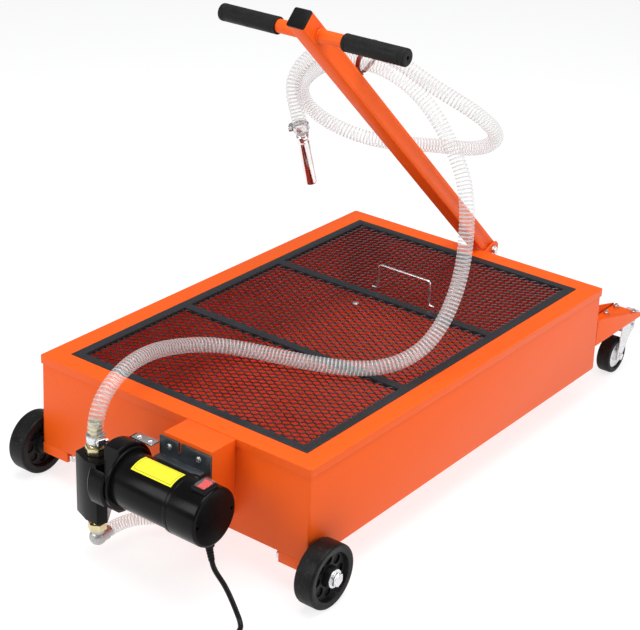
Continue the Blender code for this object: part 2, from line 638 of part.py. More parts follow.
def make_castor(side, word):
    """One swivel castor: bracket, top plate with its studs, fork, wheel and brake pedal."""
    swivel = Vector((side * CASTOR_SWIVEL.x, CASTOR_SWIVEL.y, 0))
    # Local X trails towards the tank, local Y is the spin axis, local Z is up.
    turned_frame = Matrix.Translation(swivel) @ Matrix((-Y_AXIS, X_AXIS, Z_AXIS)).transposed().to_4x4()
    axle_z = CASTOR_RADIUS - CLEARANCE
    make_castor_bracket(side, word)
    make_castor_plate(side, word, swivel)
    turn = joint("castor_swivel_" + word, swivel)

    leg_in = 0.01525
    leg_out = 0.01775
    fork = box("castor_fork_" + word, (-0.012, -leg_out, FORK_TOP - 0.0025), (0.020, leg_out, FORK_TOP),
               frame=turned_frame)
    outline = [(0.020, FORK_TOP - 0.001), (-0.027, FORK_TOP - 0.001), (-0.027, 0.0150), (-0.012, 0.0060)]
    outline += arc((CASTOR_TRAIL, axle_z), 0.0095, 200, 340, 7)
    upright = Matrix(((1, 0, 0), (0, 0, -1), (0, 1, 0))).to_4x4()
    for at in (-1, 1):
        frame = turned_frame @ Matrix.Translation((0, at * (leg_in + leg_out) / 2, 0)) @ upright
        join(fork, plate("leg_%s_%d" % (word, at), outline, leg_out - leg_in, frame))
    race = cylinder("race_" + word, (0, 0, FORK_TOP - 0.001), (0, 0, 0.0398), 0.0195, 16, frame=turned_frame)
    join(fork, race)
    axle = cylinder("castor_axle_" + word, (CASTOR_TRAIL, -0.0225, axle_z), (CASTOR_TRAIL, 0.0225, axle_z), 0.004,
                    10, frame=turned_frame)
    head = cylinder("castor_axle_head_" + word, (CASTOR_TRAIL, 0.0170, axle_z), (CASTOR_TRAIL, 0.0225, axle_z),
                    0.0070, 6, frame=turned_frame)
    nut = cylinder("castor_axle_nut_" + word, (CASTOR_TRAIL, -0.0215, axle_z), (CASTOR_TRAIL, -0.0170, axle_z),
                   0.0070, 6, frame=turned_frame)
    join(fork, axle, head, nut)
    pin_way = cylinder("kingpin_way_" + word, (0, 0, 0.02), (0, 0, 0.05), 0.0064, frame=turned_frame)
    pedal_at = Vector((-0.0205, 0, 0.0225))
    pedal_way = cylinder("pedal_way_" + word, pedal_at - Y_AXIS * 0.03, pedal_at + Y_AXIS * 0.03, 0.0034, 16,
                         frame=turned_frame)
    finish(cut(fork, pin_way, pedal_way), ZINC)
    hang(turn, fork)

    centre = turned_frame @ Vector((CASTOR_TRAIL, 0, axle_z))
    half = CASTOR_HALF
    radius = CASTOR_RADIUS
    face = [(radius, half - 0.003), (radius - 0.0020, half), (0.0255, half), (0.0240, half - 0.004),
            (0.0120, half - 0.004), (0.0105, half + 0.0015), (0.0044, half + 0.0015)]
    profile = face[::-1] + [(r, -h) for r, h in face]
    wheel = turned("castor_wheel_" + word, profile, axis_frame(centre, X_AXIS), 18)
    finish(wheel, LIGHT_GREY, smooth=True)
    hang(joint("castor_wheel_spin_" + word, centre, turn), wheel)

    arm = [(-0.0520, 0.0374), (-0.0340, 0.0364), (-0.0255, 0.0258), (-0.0205, 0.0258), (-0.0172, 0.0230),
           (-0.0170, 0.0030), (-0.0145, 0.0030), (-0.0145, 0.0232), (-0.0190, 0.0285), (-0.0245, 0.0285),
           (-0.0330, 0.0388), (-0.0520, 0.0396)]
    pedal = plate("brake_pedal_" + word, arm, 0.026, turned_frame @ upright)
    pin = cylinder("pedal_pin_" + word, pedal_at - Y_AXIS * 0.0195, pedal_at + Y_AXIS * 0.0195, 0.003, 14,
                   frame=turned_frame)
    boss = cylinder("pedal_boss_" + word, pedal_at - Y_AXIS * 0.013, pedal_at + Y_AXIS * 0.013, 0.0048, 14,
                    frame=turned_frame)
    finish(join(pedal, boss, pin), LIGHT_GREY)
    hang(joint("brake_pedal_joint_" + word, turned_frame @ pedal_at, turn), pedal)


def make_castor_bracket(side, word):
    """The orange shelf behind the back wall: a bottom plate between two long gussets."""
    wall = LENGTH / 2 + GAP
    low, high = 0.043, 0.046
    tip = 0.606
    xs = sorted((side * 0.209, side * 0.273))
    shelf = box("castor_bracket_" + word, (xs[0] + 0.0012, wall + 0.0004, low + 0.0003),
                (xs[1] - 0.0012, tip - 0.0004, high))
    side_plane = Matrix(((0, 0, 1), (1, 0, 0), (0, 1, 0))).to_4x4()
    gusset = [(wall, low), (tip, low), (tip, high + 0.0030), (wall + 0.012, high + 0.046), (wall, high + 0.046)]
    for x in (xs[0] + 0.00125, xs[1] - 0.00125):
        frame = Matrix.Translation((x, 0, 0)) @ side_plane
        join(shelf, plate("gusset_%s_%d" % (word, round(abs(x) * 1000)), gusset, 0.0025, frame))
    for i, (dx, dy) in enumerate(CASTOR_STUDS):
        place = Vector((side * (PLATE_MIDDLE + dx), CASTOR_SWIVEL.y + dy, 0.045))
        cut(shelf, cylinder("stud_way_%s_%d" % (word, i), place - Z_AXIS * 0.01, place + Z_AXIS * 0.01, 0.0034, 12))
    finish(shelf, ORANGE)


def make_castor_plate(side, word, swivel):
    """The castor's top plate with its four studs, their nuts, and the kingpin that the fork turns on."""
    mid = side * PLATE_MIDDLE
    low = 0.0402
    top = 0.0427
    flat = box("castor_plate_" + word, (mid - 0.0265, swivel.y - 0.0275, low), (mid + 0.0265, swivel.y + 0.0275, top),
               0.004)
    for i, (dx, dy) in enumerate(CASTOR_STUDS):
        place = Vector((mid + side * dx, swivel.y + dy, 0))
        stud = cylinder("stud_%s_%d" % (word, i), place + Z_AXIS * 0.041, place + Z_AXIS * 0.0545, 0.003, 8)
        nut = cylinder("nut_%s_%d" % (word, i), place + Z_AXIS * (0.046 + GAP), place + Z_AXIS * 0.0515, 0.0058, 6)
        join(flat, stud, nut)
    kingpin = cylinder("kingpin_" + word, swivel + Z_AXIS * 0.0250, swivel + Z_AXIS * 0.0410, 0.006, 12)
    head = cylinder("kingpin_head_" + word, swivel + Z_AXIS * 0.0240, swivel + Z_AXIS * 0.0276, 0.009, 12)
    finish(join(flat, kingpin, head), ZINC)


# ---------------------------------------------------------------- pump and motor

def motor_frame(x=0.0):
    return axis_frame((x, MOTOR_Y, MOTOR_Z), X_AXIS)


def make_pump():
    """The gear pump: its block, the head that closes it, two gears, and the fittings on its ports."""
    corners = [(-0.0745, -0.502), (-0.0745, -0.547), (-0.045, -0.558), (-0.022, -0.558), (-0.0145, -0.543),
               (-0.0145, -0.502)]
    low, high = 0.008, 0.111
    block = plate("pump_block", corners, high - low, Matrix.Translation((0, 0, (low + high) / 2)))
    gear_low = MOTOR_Z - GEAR_SPACING
    chamber = 0.0120
    face = -0.0145
    for name, z in (("drive_bore", MOTOR_Z), ("driven_bore", gear_low)):
        cut(block, cylinder(name, (-0.058, MOTOR_Y, z), (face + 0.01, MOTOR_Y, z), chamber, 16))
    cut(block, cylinder("outlet_way", PORT + Z_AXIS * MOTOR_Z, PORT + Z_AXIS * 0.13, 0.0080))
    cut(block, cylinder("inlet_way", PORT + Z_AXIS * 0.0, PORT + Z_AXIS * gear_low, 0.0080))
    heel = plate("block_heel", [(face + 0.01, -0.5425), (face, -0.5425), (-0.036, -0.5115), (-0.036, -0.49),
                                (face + 0.01, -0.49)], 0.060, Matrix.Translation((0, 0, 0.022)))
    finish(cut(block, heel), BLACK_PAINT)

    head = turned("pump_head", [(0.0540, HEAD_END), (0.0560, HEAD_END - 0.002), (0.0560, face + 0.0025),
                                (0.0540, face + GAP), (0.0070, face + GAP), (0.0070, 0.0040),
                                (0.0313, 0.0040), (0.0313, HEAD_END)], motor_frame(), 32)
    flat = box("head_flat", (face - 0.01, MOTOR_Y - 0.09, 0), (HEAD_END + 0.01, HEAD_FLAT, 0.2))
    lug = box("head_lug", (face + GAP + 0.002, -0.4995, 0.112), (0.002, -0.4805, 0.1383))
    finish(join(cut(head, flat), lug), BLACK_PAINT, smooth=True)

    spin = joint("motor_spin", (0, MOTOR_Y, MOTOR_Z))
    idle = joint("driven_gear_spin", (0, MOTOR_Y, gear_low))
    drive = make_gear("drive_gear", MOTOR_Z, 0.0)
    cut(drive, cylinder("drive_gear_bore", (-0.08, MOTOR_Y, MOTOR_Z), (0.02, MOTOR_Y, MOTOR_Z), 0.0053))
    driven = make_gear("driven_gear", gear_low, math.pi / GEAR_TEETH)
    finish(drive, ZINC)
    finish(driven, ZINC)
    hang(spin, drive)
    hang(idle, driven)

    outlet = cylinder("outlet_fitting", PORT + Z_AXIS * (high + GAP), PORT + Z_AXIS * 0.1235, 0.0168, 6)
    neck = cylinder("outlet_neck", PORT + Z_AXIS * 0.1062, PORT + Z_AXIS * 0.1272, 0.0077)
    collar = cylinder("outlet_collar", PORT + Z_AXIS * 0.1230, PORT + Z_AXIS * 0.1260, 0.0118)
    finish(join(outlet, collar, neck), BRASS, smooth=True)
    clamp_ring("outlet_clamp", PORT + Z_AXIS * 0.1365, Z_AXIS, 0.012, Vector((1, -0.3, 0)))

    inlet = cylinder("inlet_fitting", PORT + Z_AXIS * NUT_LOW, PORT + Z_AXIS * (NUT_LOW + 0.0120), 0.0150, 6)
    inlet_neck = cylinder("inlet_neck", PORT + Z_AXIS * (NUT_LOW + 0.0110), PORT + Z_AXIS * 0.018, 0.0077)
    finish(join(inlet, inlet_neck), BRASS)

    turn = Vector((-0.048, MOTOR_Y, -0.036))
    elbow = cylinder("suction_elbow", turn, Vector((turn.x, turn.y, NUT_LOW - GAP)), 0.0105)
    ball = ball_at("elbow_ball", turn, 0.0137)
    run = cylinder("elbow_run", turn, turn + Y_AXIS * 0.0170, 0.0120)
    barb = cylinder("elbow_barb", turn, turn + Y_AXIS * 0.0247, 0.0088)
    finish(join(elbow, ball, run, barb), CAST_GREY, smooth=True)


def ball_at(name, centre, radius):
    bm = bmesh.new()
    bmesh.ops.create_uvsphere(bm, u_segments=14, v_segments=8, radius=radius)
    bmesh.ops.translate(bm, vec=centre, verts=bm.verts)
    return from_bmesh(name, bm)


def make_gear(name, z, phase):
    """A gear with gently waved teeth, its outline worked out from the tooth count."""
    outline = []
    for i in range(4 * GEAR_TEETH):
        turn = math.tau * i / (4 * GEAR_TEETH)
        radius = GEAR_RADIUS + GEAR_TOOTH * math.cos(GEAR_TEETH * (turn + phase))
        outline.append((radius * math.cos(turn), radius * math.sin(turn)))
    middle = -0.0360
    long = 0.040
    gear = plate(name, outline, long, axis_frame((middle, MOTOR_Y, z), X_AXIS))
    return gear


def make_motor():
    """The motor in line with the pump: front bell, barrel, end cap, stator, rotor and two bearings."""
    frame = motor_frame()
    bell = turned("motor_front_bell", [(0.0490, 0.022), (0.0505, 0.0210), (0.0505, HEAD_END + 0.0010),
                                       (0.0495, HEAD_END + GAP), (0.0310, HEAD_END + GAP), (0.0310, 0.0043),
                                       (0.0070, 0.0043), (0.0070, 0.0062), (0.0163, 0.0062), (0.0163, 0.022)],
                  frame, 28)
    finish(bell, BLACK_PAINT, smooth=True)
    barrel_start, barrel_end = 0.0223, 0.1247
    inner = BARREL_RADIUS - 0.0025
    barrel = turned("motor_barrel", [(BARREL_RADIUS, barrel_end), (BARREL_RADIUS, barrel_start),
                                     (inner, barrel_start), (inner, barrel_end)], frame, 28)
    finish(barrel, BLACK_PAINT, smooth=True)
    stator = turned("stator_core", [(inner - GAP, 0.100), (inner - GAP, 0.035), (0.0245, 0.035), (0.0245, 0.100)],
                    frame, 24)
    finish(stator, COPPER, smooth=True)
    shaft = 0.0050
    rotor = turned("rotor_shaft", [(0, 0.1765), (shaft, 0.1765), (shaft, 0.097), (0.0240, 0.097), (0.0240, 0.038),
                                   (shaft, 0.038), (shaft, -0.0560), (0, -0.0560)], frame, 20)
    finish(rotor, CAST_GREY, smooth=True)
    for name, start in (("bearing_front", 0.0065), ("bearing_rear", 0.1660)):
        ring = turned(name, [(0.0160, start + 0.010), (0.0160, start), (shaft + GAP, start),
                             (shaft + GAP, start + 0.010)], frame, 20)
        finish(ring, ZINC, smooth=True)
    hang(bpy.data.objects["motor_spin"], rotor)

    start, end = CAP_SPAN
    hollow = CAP_RADIUS - 0.0035
    cap = turned("motor_end_cap", [(0, end), (CAP_RADIUS - 0.0035, end), (CAP_RADIUS - 0.0010, end - 0.0010),
                                   (CAP_RADIUS, end - 0.0035), (CAP_RADIUS, start + 0.001),
                                   (CAP_RADIUS - 0.001, start), (hollow, start), (hollow, 0.164), (0.0163, 0.164),
                                   (0.0163, 0.1785), (0, 0.1785)], frame, 26)
    for side in (-1, 1):
        spot = Vector((0, MOTOR_Y + side * 0.0370, MOTOR_Z))
        cut(cap, cylinder("cap_screw_way_%d" % side, spot + X_AXIS * 0.178, spot + X_AXIS * 0.2, 0.0030, 14))
    half_x, half_y = 0.0092, 0.0128
    well = box("switch_well", (SWITCH.x - half_x - GAP, SWITCH.y - half_y - GAP, 0.116),
               (SWITCH.x + half_x + GAP, SWITCH.y + half_y + GAP, 0.16))
    cut(cap, well)
    cut(cap, cylinder("gland_way", (0.175, MOTOR_Y, 0.040), (0.175, MOTOR_Y, 0.060), 0.0062))
    finish(cap, BLACK_PAINT, smooth=True)
    make_switch(half_x, half_y)


def make_switch(half_x, half_y):
    """The rocker switch in its square boss on top of the end cap."""
    boss = box("switch_housing", (SWITCH.x - 0.0135, SWITCH.y - 0.015, 0.125),
               (SWITCH.x + 0.0135, SWITCH.y + 0.015, 0.1430), 0.002)
    round_cut = cylinder("boss_saddle", (0.14, MOTOR_Y, MOTOR_Z), (0.20, MOTOR_Y, MOTOR_Z), CAP_RADIUS + GAP, 44)
    cut(boss, round_cut)
    body = box("switch_body", (SWITCH.x - half_x, SWITCH.y - half_y, 0.1190),
               (SWITCH.x + half_x, SWITCH.y + half_y, 0.1425))
    join(boss, body)
    pocket = box("switch_pocket", (SWITCH.x - 0.0076, SWITCH.y - 0.0113, 0.1275),
                 (SWITCH.x + 0.0076, SWITCH.y + 0.0113, 0.16))
    finish(cut(boss, pocket), BLACK_PLASTIC)
    tilt = Matrix.Rotation(SWITCH_TILT, 4, "X")
    side_plane = Matrix(((0, 0, 1), (1, 0, 0), (0, 1, 0))).to_4x4()
    outline = [(0.0098, 0.0050), (0, 0.0032), (-0.0098, 0.0050)] + arc((0, 0), 0.0100, 190, 350, 9)
    rocker = plate("switch_rocker", outline, 0.0146, Matrix.Translation(SWITCH) @ tilt @ side_plane)
    finish(rocker, RED_PLASTIC)
    hang(joint("switch_rock", SWITCH), rocker)


def make_motor_mounts():
    """The orange box bracket on the front wall and the dark angle that ties the motor to it."""
    left, right = 0.041, 0.135
    front, back = -0.478, -LENGTH / 2 - GAP
    low, high = 0.030, 0.158
    shell = box("pump_bracket", (left, front, low), (right, back, high))
    inside = box("bracket_inside", (left + SHEET, front + SHEET, low - 0.01), (right - SHEET, back + 0.01,
                                                                              high - SHEET))
    cut(shell, inside)
    face = front - GAP
    angle = box("motor_angle", (0.035, face - 0.003, 0.1185), (0.135, face, 0.152))
    foot = box("angle_foot", (0.035, -0.4945, 0.1185), (0.1230, face - 0.001, 0.1215))
    slot = box("angle_slot", (0.0725, -0.50, 0.136), (0.0775, -0.45, 0.16))
    join(angle, foot)
    cut(angle, slot)
    for i, x in enumerate((0.055, 0.1125)):
        cut(angle, cylinder("angle_hole_%d" % i, (x, -0.49, 0.139), (x, -0.47, 0.139), 0.0030, 16))
        cut(shell, cylinder("bracket_hole_%d" % i, (x, -0.49, 0.139), (x, -0.47, 0.139), 0.0030, 16))
    finish(shell, ORANGE)
    finish(angle, DARK_STEEL)


# ---------------------------------------------------------------- hoses and cord

def make_hoses():
    finish(tube("delivery_hose", smooth_route(DELIVERY_ROUTE, 0.036), HOSE_RADIUS, 2), CLEAR_HOSE)
    finish(tube("suction_hose", smooth_route(SUCTION_ROUTE, 0.011), SUCTION_RADIUS, 2), CLEAR_HOSE)


def make_cord():
    """The gland under the end cap, the free lead, the coil of its spare length, and its plug."""
    exit_point = Vector((0.175, MOTOR_Y, 0.0415))
    gland = cylinder("cord_gland", exit_point, exit_point + Z_AXIS * 0.0042, 0.0088)
    neck = cylinder("gland_neck", exit_point + Z_AXIS * 0.004, exit_point + Z_AXIS * 0.0125, 0.0059)
    taper = cylinder("gland_taper", exit_point + Z_AXIS * 0.001, Vector((0.1812, MOTOR_Y, 0.0189)), 0.0066,
                     end_radius=0.0047)
    finish(join(gland, neck, taper), BLACK_RUBBER, smooth=True)
    finish(tube("power_cord", smooth_route(CORD_ROUTE, 0.008), CORD_RADIUS, 2), BLACK_RUBBER)

    floor = -CLEARANCE + 0.0001
    top = floor + COIL_HIGH
    edge = 0.004
    profile = [(COIL_INNER + edge, top), (COIL_OUTER - edge, top), (COIL_OUTER, top - edge),
               (COIL_OUTER, floor + edge), (COIL_OUTER - edge, floor), (COIL_INNER + edge, floor),
               (COIL_INNER, floor + edge), (COIL_INNER, top - edge)]
    coil = turned("cord_coil", profile, Matrix.Translation((COIL_CENTRE.x, COIL_CENTRE.y, 0)), 20)
    finish(coil, BLACK_RUBBER, smooth=True)

    start = Vector((0.3240, -0.6900, floor + 0.0110))
    plug = box("power_plug", start + Vector((0.018, -0.0130, -0.0105)), start + Vector((0.050, 0.0130, 0.0105)),
               0.005, 0, 3)
    relief = cylinder("plug_relief", start, start + X_AXIS * 0.020, 0.0048, 20, end_radius=0.0075)
    join(plug, relief)
    for i, side in enumerate((-1, 1)):
        middle = start + Y_AXIS * side * 0.0063
        join(plug, box("blade_%d" % i, middle + Vector((0.049, -0.0008, -0.0032)),
                       middle + Vector((0.067, 0.0008, 0.0032))))
    finish(plug, BLACK_PLASTIC)


make_tank()
make_rim()
make_screen()
make_sump()
make_handle()
for hand, label in ((1, "right"), (-1, "left")):
    make_front_wheel(hand, label)
    make_castor(hand, label)
make_pump()
make_motor()
make_motor_mounts()
make_hoses()
make_cord()
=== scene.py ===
import json
import math

import bmesh
import bpy
import numpy as np
from mathutils import Matrix, Vector

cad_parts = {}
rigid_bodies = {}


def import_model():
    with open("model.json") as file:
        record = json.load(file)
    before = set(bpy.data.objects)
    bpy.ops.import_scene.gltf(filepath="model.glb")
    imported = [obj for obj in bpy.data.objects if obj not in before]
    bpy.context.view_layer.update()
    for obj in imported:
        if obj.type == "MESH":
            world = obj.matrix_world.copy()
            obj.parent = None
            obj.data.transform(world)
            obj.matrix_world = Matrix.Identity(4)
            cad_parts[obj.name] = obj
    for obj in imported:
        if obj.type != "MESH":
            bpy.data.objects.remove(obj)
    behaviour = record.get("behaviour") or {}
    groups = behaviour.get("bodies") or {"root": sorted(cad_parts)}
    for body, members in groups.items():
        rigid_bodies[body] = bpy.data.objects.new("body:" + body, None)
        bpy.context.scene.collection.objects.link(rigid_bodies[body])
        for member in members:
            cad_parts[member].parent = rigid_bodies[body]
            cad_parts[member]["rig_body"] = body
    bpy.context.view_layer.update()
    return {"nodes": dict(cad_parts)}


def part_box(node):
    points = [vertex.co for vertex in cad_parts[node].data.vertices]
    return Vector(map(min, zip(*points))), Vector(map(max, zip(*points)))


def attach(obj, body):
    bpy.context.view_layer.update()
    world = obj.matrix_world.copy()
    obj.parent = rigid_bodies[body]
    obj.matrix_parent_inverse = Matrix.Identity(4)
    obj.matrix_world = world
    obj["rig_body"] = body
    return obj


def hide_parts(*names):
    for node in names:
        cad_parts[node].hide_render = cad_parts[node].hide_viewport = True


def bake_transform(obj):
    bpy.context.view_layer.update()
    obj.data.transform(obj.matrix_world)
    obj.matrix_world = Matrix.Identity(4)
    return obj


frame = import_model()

NODES = frame["nodes"]

# Places that the whole script works from: the middle of the tank's underside, and the axes and faces of the
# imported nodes. Everything is in metres; X runs across the tank, -Y is the pump end and +Y the handle end.
TANK_LOW, TANK_HIGH = (Vector(corner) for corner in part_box("tank_shell"))
ORIGIN = Vector(((TANK_LOW.x + TANK_HIGH.x) / 2, (TANK_LOW.y + TANK_HIGH.y) / 2, TANK_LOW.z))
X_AXIS = Vector((1, 0, 0))
Y_AXIS = Vector((0, 1, 0))
Z_AXIS = Vector((0, 0, 1))


def at(x, y, z):
    """A place measured from the middle of the tank's underside."""
    return ORIGIN + Vector((x, y, z))


def corners(node):
    low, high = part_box(node)
    return Vector(low), Vector(high)


def middle(node):
    low, high = corners(node)
    return (low + high) / 2


def axis_frame(origin, direction):
    """Frame at origin whose local Z points along direction."""
    turn = Vector(direction).to_track_quat("Z", "Y").to_matrix().to_4x4()
    return Matrix.Translation(origin) @ turn


def added(name, data):
    """A new object in the scene that shows data."""
    made = bpy.data.objects.new(name, data)
    bpy.context.scene.collection.objects.link(made)
    return made


# ---------------------------------------------------------------- camera, floor and lights

FLOOR_HALF = 25.0


def make_camera():
    data = bpy.data.cameras.new("camera")
    data.lens = 95.86
    data.sensor_width = 36
    azimuth, elevation, roll = (math.radians(a) for a in (36.626, 25.187, 2.374))
    camera = added("camera", data)
    turn = Matrix.Rotation(azimuth, 4, "Z") @ Matrix.Rotation(math.pi / 2 - elevation, 4, "X")
    place = Matrix.Translation(at(1.5319, -2.1099, 1.3928))
    camera.matrix_world = place @ turn @ Matrix.Rotation(roll, 4, "Z")
    bpy.context.scene.camera = camera


def make_light(name, place, target, size, power):
    data = bpy.data.lights.new(name, "AREA")
    data.shape = "RECTANGLE"
    data.size, data.size_y = size
    data.energy = power
    lamp = added(name, data)
    lamp.matrix_world = axis_frame(Vector(place), Vector(place) - Vector(target))


def make_studio():
    bpy.context.scene.view_settings.view_transform = "Standard"
    world = bpy.data.worlds.new("studio")
    bpy.context.scene.world = world
    world.use_nodes = True
    world.node_tree.nodes["Background"].inputs["Color"].default_value = (1.0, 0.985, 0.975, 1)
    world.node_tree.nodes["Background"].inputs["Strength"].default_value = 0.30
    make_light("overhead", (0.35, -0.15, 2.9), (0, 0, 0.1), (2.6, 2.2), 78)
    make_light("right_side", (2.6, 0.2, 1.3), (0, 0, 0.2), (1.6, 1.4), 23)
    make_light("front_fill", (-0.9, -2.6, 1.5), (0, 0, 0.2), (1.5, 1.2), 30)
    bm = bmesh.new()
    bmesh.ops.create_grid(bm, x_segments=24, y_segments=24, size=FLOOR_HALF)
    mesh = bpy.data.meshes.new("studio_floor")
    bm.to_mesh(mesh)
    bm.free()
    floor = added("studio_floor", mesh)
    paper = Look("studio_paper", (0.32, 0.325, 0.33), 0.9, Specular_IOR_Level=0.1,
                 Emission_Color=(1, 1, 1, 1), Emission_Strength=0.76)
    mesh.materials.append(paper.tone(0.012, 1.5).grain(40, 0.0003).made)


# ---------------------------------------------------------------- materials

class Look:
    """A procedural material that is built up step by step on one Principled shader."""

    def __init__(self, name, colour, roughness, metallic=0.0, **sockets):
        self.made = bpy.data.materials.new(name)
        self.made.use_nodes = True
        self.tree = self.made.node_tree
        self.shader = self.tree.nodes["Principled BSDF"]
        self.base = colour
        self.rough = roughness
        self.shader.inputs["Base Color"].default_value = (*colour, 1)
        self.shader.inputs["Roughness"].default_value = roughness
        self.shader.inputs["Metallic"].default_value = metallic
        for socket, value in sockets.items():
            self.shader.inputs[socket.replace("_", " ")].default_value = value
        self.where = self.tree.nodes.new("ShaderNodeTexCoord").outputs["Object"]
        self.colour = None
        self.height = None

    def node(self, kind, inputs=(), **settings):
        made = self.tree.nodes.new("ShaderNode" + kind)
        for key, value in settings.items():
            setattr(made, key, value)
        for key, value in dict(inputs).items():
            if isinstance(value, bpy.types.NodeSocket):
                self.tree.links.new(value, made.inputs[key])
            else:
                made.inputs[key].default_value = value
        return made

    def noise(self, scale, detail, stretch=(1, 1, 1)):
        where = self.where
        if tuple(stretch) != (1, 1, 1):
            where = self.node("Mapping", {"Vector": where, "Scale": stretch}).outputs[0]
        return self.node("TexNoise", {"Vector": where, "Scale": scale, "Detail": detail}).outputs["Fac"]

    def remap(self, value, low, high, to_low, to_high):
        inputs = {"Value": value, 1: low, 2: high, 3: to_low, 4: to_high}
        return self.node("MapRange", inputs, clamp=True).outputs[0]

    def blend(self, share, other, kind="MIX"):
        """Lays another colour over what is there, by share."""
        under = self.colour if self.colour is not None else (*self.base, 1)
        mix = self.node("MixRGB", {"Fac": share, "Color1": under, "Color2": (*other, 1)}, blend_type=kind)
        self.colour = mix.outputs[0]
        self.tree.links.new(self.colour, self.shader.inputs["Base Color"])
        return self

    def tone(self, spread, scale, detail=3.0, stretch=(1, 1, 1)):
        """Slow lighter and darker patches, and the roughness with them."""
        share = self.remap(self.noise(scale, detail, stretch), 0.3, 0.7, 0.0, 1.0)
        self.blend(share, [min(1.0, c * (1 + 3 * spread) + spread * 0.02) for c in self.base])
        low, high = max(0.02, self.rough * (1 - 2.5 * spread)), min(1.0, self.rough * (1 + 2.5 * spread))
        self.tree.links.new(self.remap(share, 0, 1, low, high), self.shader.inputs["Roughness"])
        return self

    def grain(self, scale, depth, detail=2.0, stretch=(1, 1, 1), strength=0.6):
        """A fine raised surface; depth is in metres."""
        inputs = {"Height": self.noise(scale, detail, stretch), "Strength": strength, "Distance": depth}
        if self.height is not None:
            inputs["Normal"] = self.height
        self.height = self.node("Bump", inputs).outputs[0]
        self.tree.links.new(self.height, self.shader.inputs["Normal"])
        return self

    def worn(self, colour, share, radius=0.0012):
        """Edges rubbed through to another colour, in broken patches."""
        round_over = self.node("Bevel", {"Radius": radius}, samples=4).outputs[0]
        flat = self.node("NewGeometry").outputs["Normal"]
        dot = self.node("VectorMath", {0: round_over, 1: flat}, operation="DOT_PRODUCT").outputs["Value"]
        edge = self.remap(dot, 0.995, 0.86, 0.0, 1.0)
        patch = self.remap(self.noise(160, 4.0), 0.40, 0.66, 0.0, share)
        both = self.node("Math", {0: edge, 1: patch}, operation="MULTIPLY").outputs[0]
        return self.blend(both, colour)

    def specks(self, colour, share, scale, low=0.62, high=0.70):
        """Small scattered spots of another colour."""
        return self.blend(self.remap(self.noise(scale, 1.0), low, high, 0.0, share), colour)


def finished(name, colour, roughness, metallic=0.0, tone=None, specks=None, worn=None, grain=None, **sockets):
    """A material from its base values and from what is laid over them; each step's values are Look's."""
    look = Look(name, colour, roughness, metallic, **sockets)
    for step, values in ((look.tone, tone), (look.specks, specks), (look.worn, worn), (look.grain, grain)):
        if values:
            step(*values)
    return look.made


def clear_cover():
    look = Look("clear_switch_cover", (0.95, 0.90, 0.90), 0.08)
    rim = look.node("LayerWeight", {"Blend": 0.3}).outputs["Facing"]
    look.tree.links.new(look.remap(rim, 0.45, 0.98, 0.04, 0.45), look.shader.inputs["Alpha"])
    return look.tone(0.04, 160.0).grain(500, 0.00005).made


